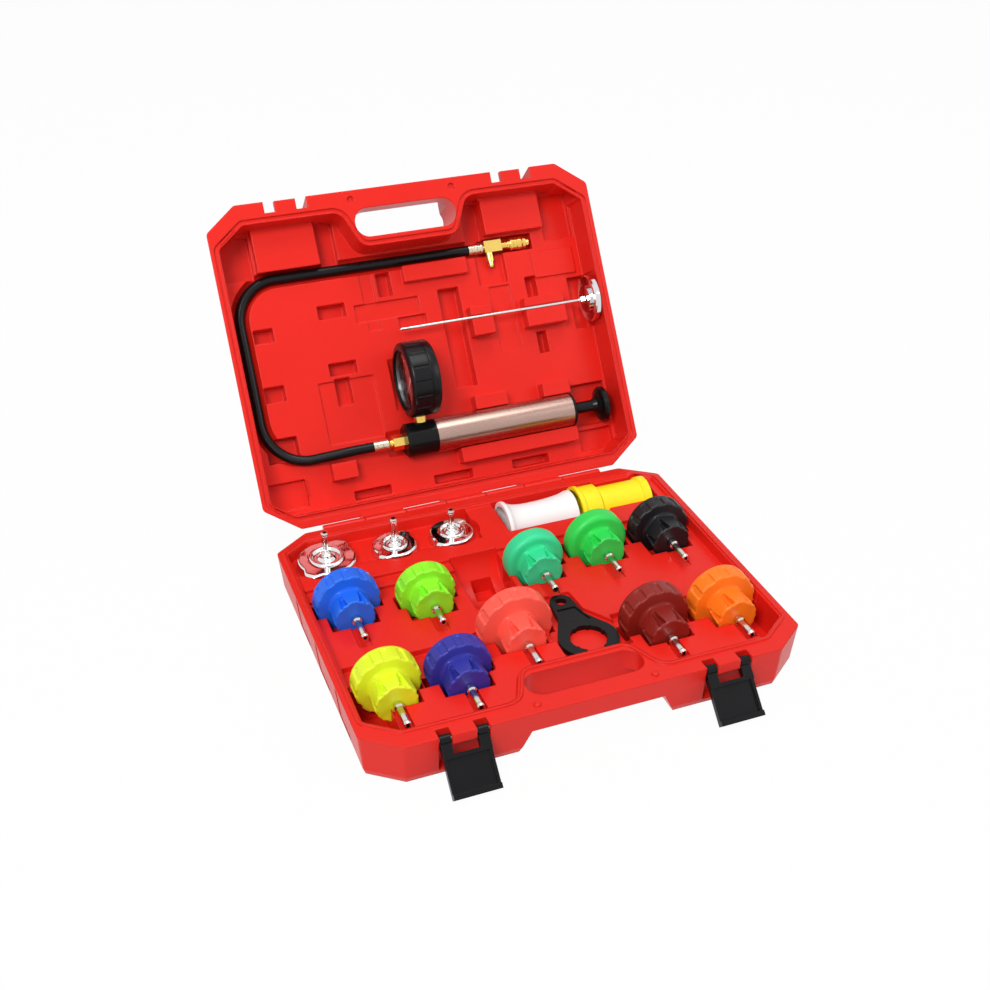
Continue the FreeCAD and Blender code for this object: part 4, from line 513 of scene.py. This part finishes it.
def stamped_profile(radius, skirt):
    """The stamped cap's section as (height, radius), with no share of scoops or flutes."""
    top = [(skirt + CAP_BOSS, 0.003), (skirt + CAP_BOSS, radius * 0.22),
           (skirt + CAP_BOSS - 0.0004, radius * 0.25), (skirt - 0.0002, radius * 0.3),
           (skirt - 0.0005, radius * 0.34), (skirt - 0.0005, radius * 0.43), (skirt, radius * 0.46),
           (skirt + CAP_RING_HEIGHT * 0.7, radius * 0.475), (skirt + CAP_RING_HEIGHT, radius * 0.505),
           (skirt + CAP_RING_HEIGHT, radius * 0.55), (skirt + CAP_RING_HEIGHT * 0.7, radius * 0.58),
           (skirt, radius * 0.6), (skirt - 0.0002, radius * 0.64)]
    top += evenly((skirt - 0.0002, radius * 0.64), (skirt - 0.0004, radius - 0.0022), 8)
    top += [(skirt - 0.0007, radius - 0.0011), (skirt - 0.0014, radius - 0.0003),
            (skirt - 0.0024, radius)]
    top += evenly((skirt - 0.0024, radius), (0.0012, radius), 6)
    top += [(0.0008, radius + 0.0004), (0.0003, radius + 0.0004), (0.0, radius - 0.0001),
            (0.0003, radius - CAP_SHEET)]
    top += evenly((0.0003, radius - CAP_SHEET), (skirt - 0.003, radius - CAP_SHEET), 5)
    top += [(skirt - 0.0020, radius - CAP_SHEET - 0.0006), (skirt - 0.0016, radius - 0.003),
            (skirt - 0.0015, radius * 0.6), (skirt - 0.0012, radius * 0.4), (skirt - 0.0012, 0.003)]
    return [(height, across, 0.0, 0.0) for height, across in top]


def ear_rule():
    """Two ears on opposite sides, pulled outward from the round cap."""
    rule = Rule("ear_rule", ("Radius", "Turn"))
    x, _, z = rule.axes()
    across = rule.add("ShaderNodeVectorMath", {"operation": "LENGTH"}, {
        0: rule.add("ShaderNodeCombineXYZ", sockets={0: x, 2: z})}, 1)
    angle = z.joined("ARCTAN2", z, x)
    off_ear = angle.joined("PINGPONG", angle - rule.size("Turn") + 4 * math.pi, math.pi / 2)
    ear = rule.add("ShaderNodeClamp", sockets={0: 1.35 - off_ear * 3.2})
    ear = ear * ear * (3.0 - ear * 2.0)
    reach = across.joined("DIVIDE", across, rule.size("Radius"))
    reach = rule.add("ShaderNodeClamp", sockets={0: (reach - 0.62) * 2.7})
    share = ear * reach * 0.2
    rule.end_moved(x * share, 0.0, z * share)
    return rule


ears = ear_rule()
UPRIGHT = Matrix.Rotation(math.radians(90), 4, "X")
cap_chrome = turned_metal("cap_chrome", (0.82, 0.82, 0.83), 0.06, 0.05)
for word, (x, y, radius, skirt) in RADIATOR_CAPS.items():
    cap = ears.apply(word + "_stamping", revolved(word, stamped_profile(radius, skirt), 180),
                     Radius=radius, Turn=EAR_TURN)
    settled(cap, Matrix.Translation((x, y, CAP_FOOT)) @ UPRIGHT, cap_chrome, 50)
    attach(cap, word + "_set")
    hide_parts(word)
    dress(nickel, word + "_nipple")

# ---- Gauge boot ----
# The gauge's rubber boot: a lip in front, raised pads round its front part, a groove behind
# them and a smooth band at the back.
BOOT_FRONT = -0.037
BOOT_LENGTH = 0.0305
BOOT_RADIUS = 0.038
BOOT_INNER = 0.034
BOOT_LIP = 0.0025
BOOT_PADS = 16
BOOT_GROOVE = 0.0009
BOOT_TURN_STEPS = 480
GAUGE_MIDDLE = Vector((-0.027, 0.24404, 0.14369))
ALONG_CASE = Matrix.Rotation(math.radians(-90), 4, "Z")


def boot_profile():
    """The boot's section as (distance back, radius, share of the grooves, no share of flutes)."""
    back = BOOT_LENGTH
    front = [(0.0, BOOT_INNER - 0.003), (0.0, BOOT_RADIUS - 0.0043), (0.0003, BOOT_RADIUS - 0.0033),
             (0.0011, BOOT_RADIUS - 0.0014), (0.0021, BOOT_RADIUS - 0.0004), (0.0034, BOOT_RADIUS)]
    section = [(along, radius, 0.0, 0.0) for along, radius in front]
    section += [(0.0037, BOOT_RADIUS, 1.0, 0.0)]
    section += evenly(section[-1], (0.0190, BOOT_RADIUS, 1.0, 0.0), 14)
    rear = [(0.0194, BOOT_RADIUS), (0.0198, BOOT_RADIUS - BOOT_GROOVE),
            (0.0208, BOOT_RADIUS - BOOT_GROOVE), (0.0212, BOOT_RADIUS - 0.0002),
            (back - 0.0030, BOOT_RADIUS - 0.0002), (back - 0.0012, BOOT_RADIUS - 0.0013),
            (back - 0.0003, BOOT_RADIUS - 0.0032), (back, BOOT_RADIUS - 0.0050), (back, 0.0),
            (back - BOOT_LIP, 0.0), (back - BOOT_LIP, BOOT_INNER), (BOOT_LIP, BOOT_INNER),
            (BOOT_LIP, BOOT_INNER - 0.003)]
    return section + [(along, radius, 0.0, 0.0) for along, radius in rear]


def pad_rule():
    """Narrow grooves along the boot that part its pads."""
    rule = Rule("pad_rule", ("Pads", "Depth"))
    x, _, z = rule.axes()
    angle = z.joined("ARCTAN2", z, x)
    pads = rule.size("Pads")
    to_groove = angle.joined("PINGPONG", angle + 4 * math.pi, pads.joined("DIVIDE", math.pi, pads))
    groove = rule.add("ShaderNodeClamp", sockets={0: 1.7 - to_groove * 60.0})
    share = rule.add("GeometryNodeInputNamedAttribute", {"data_type": "FLOAT"}, {"Name": "scoop_share"})
    inward = groove * share * rule.size("Depth") * (-1.0 / BOOT_RADIUS)
    rule.end_moved(x * inward, 0.0, z * inward)
    return rule


boot = pad_rule().apply("gauge_boot_rubber", revolved("gauge_boot", boot_profile(), BOOT_TURN_STEPS),
                        Pads=BOOT_PADS, Depth=BOOT_GROOVE)
settled(boot, Matrix.Translation((BOOT_FRONT, GAUGE_MIDDLE.y, GAUGE_MIDDLE.z)) @ ALONG_CASE, rubber)
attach(boot, "pump")
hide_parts("gauge_boot")

# ---- Dials ----
# Printed metal plates: marks round three quarters of a turn and plain figures beside them.
GAUGE_UP = Vector((0.0, 0.296, 0.955)).normalized()
DIAL_SWEEP = math.radians(270)
MARK_THICKNESS = 0.00012


def mark_rule():
    """Marks standing on an arc, each a thin bar that points at the middle."""
    rule = Rule("mark_rule", ("Count", "Radius", "Length", "Width"))
    arc = rule.add("GeometryNodeCurveArc", {"mode": "RADIUS"}, {
        "Resolution": 65, "Radius": rule.size("Radius"), "Sweep Angle": DIAL_SWEEP,
        "Start Angle": -math.pi / 4})
    spots = rule.tree.nodes.new("GeometryNodeCurveToPoints")
    rule.tree.links.new(arc.socket, spots.inputs["Curve"])
    rule.tree.links.new(rule.size("Count").socket, spots.inputs["Count"])
    bar = rule.add("GeometryNodeMeshCube", sockets={"Size": rule.add("ShaderNodeCombineXYZ", sockets={
        0: rule.size("Length"), 1: rule.size("Width"), 2: MARK_THICKNESS})})
    place = rule.add("GeometryNodeInputPosition")
    turn = rule.add("FunctionNodeAlignRotationToVector", {"axis": "X"}, {"Vector": place})
    stood = rule.add("GeometryNodeInstanceOnPoints", sockets={
        "Points": Amount(rule, spots.outputs["Points"]), "Instance": bar, "Rotation": turn})
    rule.end_with(stood)
    return rule


def facing(middle, outward, up):
    """The place of something drawn flat: its own X to the reader's right, Y up, Z outward."""
    out = Vector(outward).normalized()
    above = (up - out * up.dot(out)).normalized()
    right = above.cross(out)
    return Matrix.Translation(middle) @ Matrix((right, above, out)).transposed().to_4x4()


def printed(name, place, material, body, marks, figures, figure_size, figure_radius):
    """Marks and figures on one dial, as one piece."""
    whole = bmesh.new()
    for count, radius, length, width in marks:
        bars = marking.apply(name + "_marks", bpy.data.meshes.new(name), **{
            "Count": count, "Radius": radius, "Length": length, "Width": width})
        whole.from_mesh(bars.data)
        bpy.data.objects.remove(bars)
    for step, figure in enumerate(figures):
        turn = math.radians(225) - DIAL_SWEEP * step / (len(figures) - 1)
        letter = bpy.data.curves.new(name + "_figure", "FONT")
        letter.body = figure
        letter.size = figure_size
        letter.align_x = "CENTER"
        letter.align_y = "CENTER"
        letter.extrude = MARK_THICKNESS / 2
        holder = bpy.data.objects.new(name + "_figure", letter)
        bpy.context.scene.collection.objects.link(holder)
        bpy.context.view_layer.update()
        flat = bpy.data.meshes.new_from_object(holder)
        flat.transform(Matrix.Translation((
            figure_radius * math.cos(turn), figure_radius * math.sin(turn), 0.0)))
        whole.from_mesh(flat)
        bpy.data.objects.remove(holder)
    mesh = bpy.data.meshes.new(name)
    whole.to_mesh(mesh)
    whole.free()
    mesh.transform(place)
    mesh.materials.clear()
    mesh.materials.append(material)
    piece = bpy.data.objects.new(name, mesh)
    bpy.context.scene.collection.objects.link(piece)
    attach(piece, body)
    return piece


marking = mark_rule()
dial_ink = moulded("dial_ink", (0.86, 0.86, 0.84), 0.5)
gauge_print = printed(
    "gauge_print", facing(GAUGE_MIDDLE + Vector((0.00064, 0.0, 0.0)), (-1, 0, 0), GAUGE_UP), dial_ink,
    "pump", ((51, 0.0285, 0.0018, 0.0003), (11, 0.0280, 0.0036, 0.0007)),
    ("0", ".5", "1", "1.5", "2", "2.5"), 0.0056, 0.0212)
THERMOMETER_MIDDLE = Vector((0.18456, 0.28484, 0.18030))
THERMOMETER_UP = Vector((0.0, 0.826, -0.564)).normalized()
thermometer_ink = moulded("thermometer_ink", (0.03, 0.03, 0.03), 0.5)
thermometer_print = printed(
    "thermometer_print", facing(THERMOMETER_MIDDLE, (1, 0, 0), THERMOMETER_UP), thermometer_ink,
    "thermometer", ((51, 0.0205, 0.0014, 0.00025), (11, 0.0202, 0.0026, 0.0005)),
    ("0", "20", "40", "60", "80", "100"), 0.0040, 0.0152)

# ---- Neck adapters ----
# Moulded in white and yellow, hollow from end to end. The white one flares at both ends from
# a narrower waist.
NECK_AXIS = (0.121, 0.0295)
WHITE_NECK_START = 0.023
WHITE_NECK = (
    (0.0, 0.0210), (0.0, 0.0248), (0.0005, 0.0253), (0.0012, 0.0255), (0.0036, 0.0253),
    (0.0042, 0.0248), (0.0050, 0.0237), (0.0070, 0.0224), (0.0105, 0.0210), (0.0150, 0.0199),
    (0.0210, 0.0192), (0.0290, 0.0189), (0.0390, 0.0190), (0.0490, 0.0194), (0.0580, 0.0202),
    (0.0640, 0.0212), (0.0680, 0.0222), (0.0700, 0.0229), (0.0712, 0.0230), (0.0736, 0.0230),
    (0.0740, 0.0226), (0.0740, 0.0176), (0.0736, 0.0172), (0.0730, 0.0170), (0.0120, 0.0170),
    (0.0080, 0.0185), (0.0010, 0.0208),
)
white_plastic = moulded("white_plastic", (0.9, 0.88, 0.88), 0.4)
neck_section = [(along, radius, 0.0, 0.0) for along, radius in WHITE_NECK]
neck = bpy.data.objects.new("white_neck_moulding", revolved("white_neck", neck_section, 200))
bpy.context.scene.collection.objects.link(neck)
neck.data.shade_smooth()
settled(neck, Matrix.Translation((WHITE_NECK_START,) + NECK_AXIS) @ ALONG_CASE, white_plastic, 40)
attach(neck, "white_neck_adapter_body")
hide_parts("white_neck_adapter")
dress(moulded("yellow_plastic", (1.0, 0.8, 0.01), 0.4), "yellow_neck_adapter")
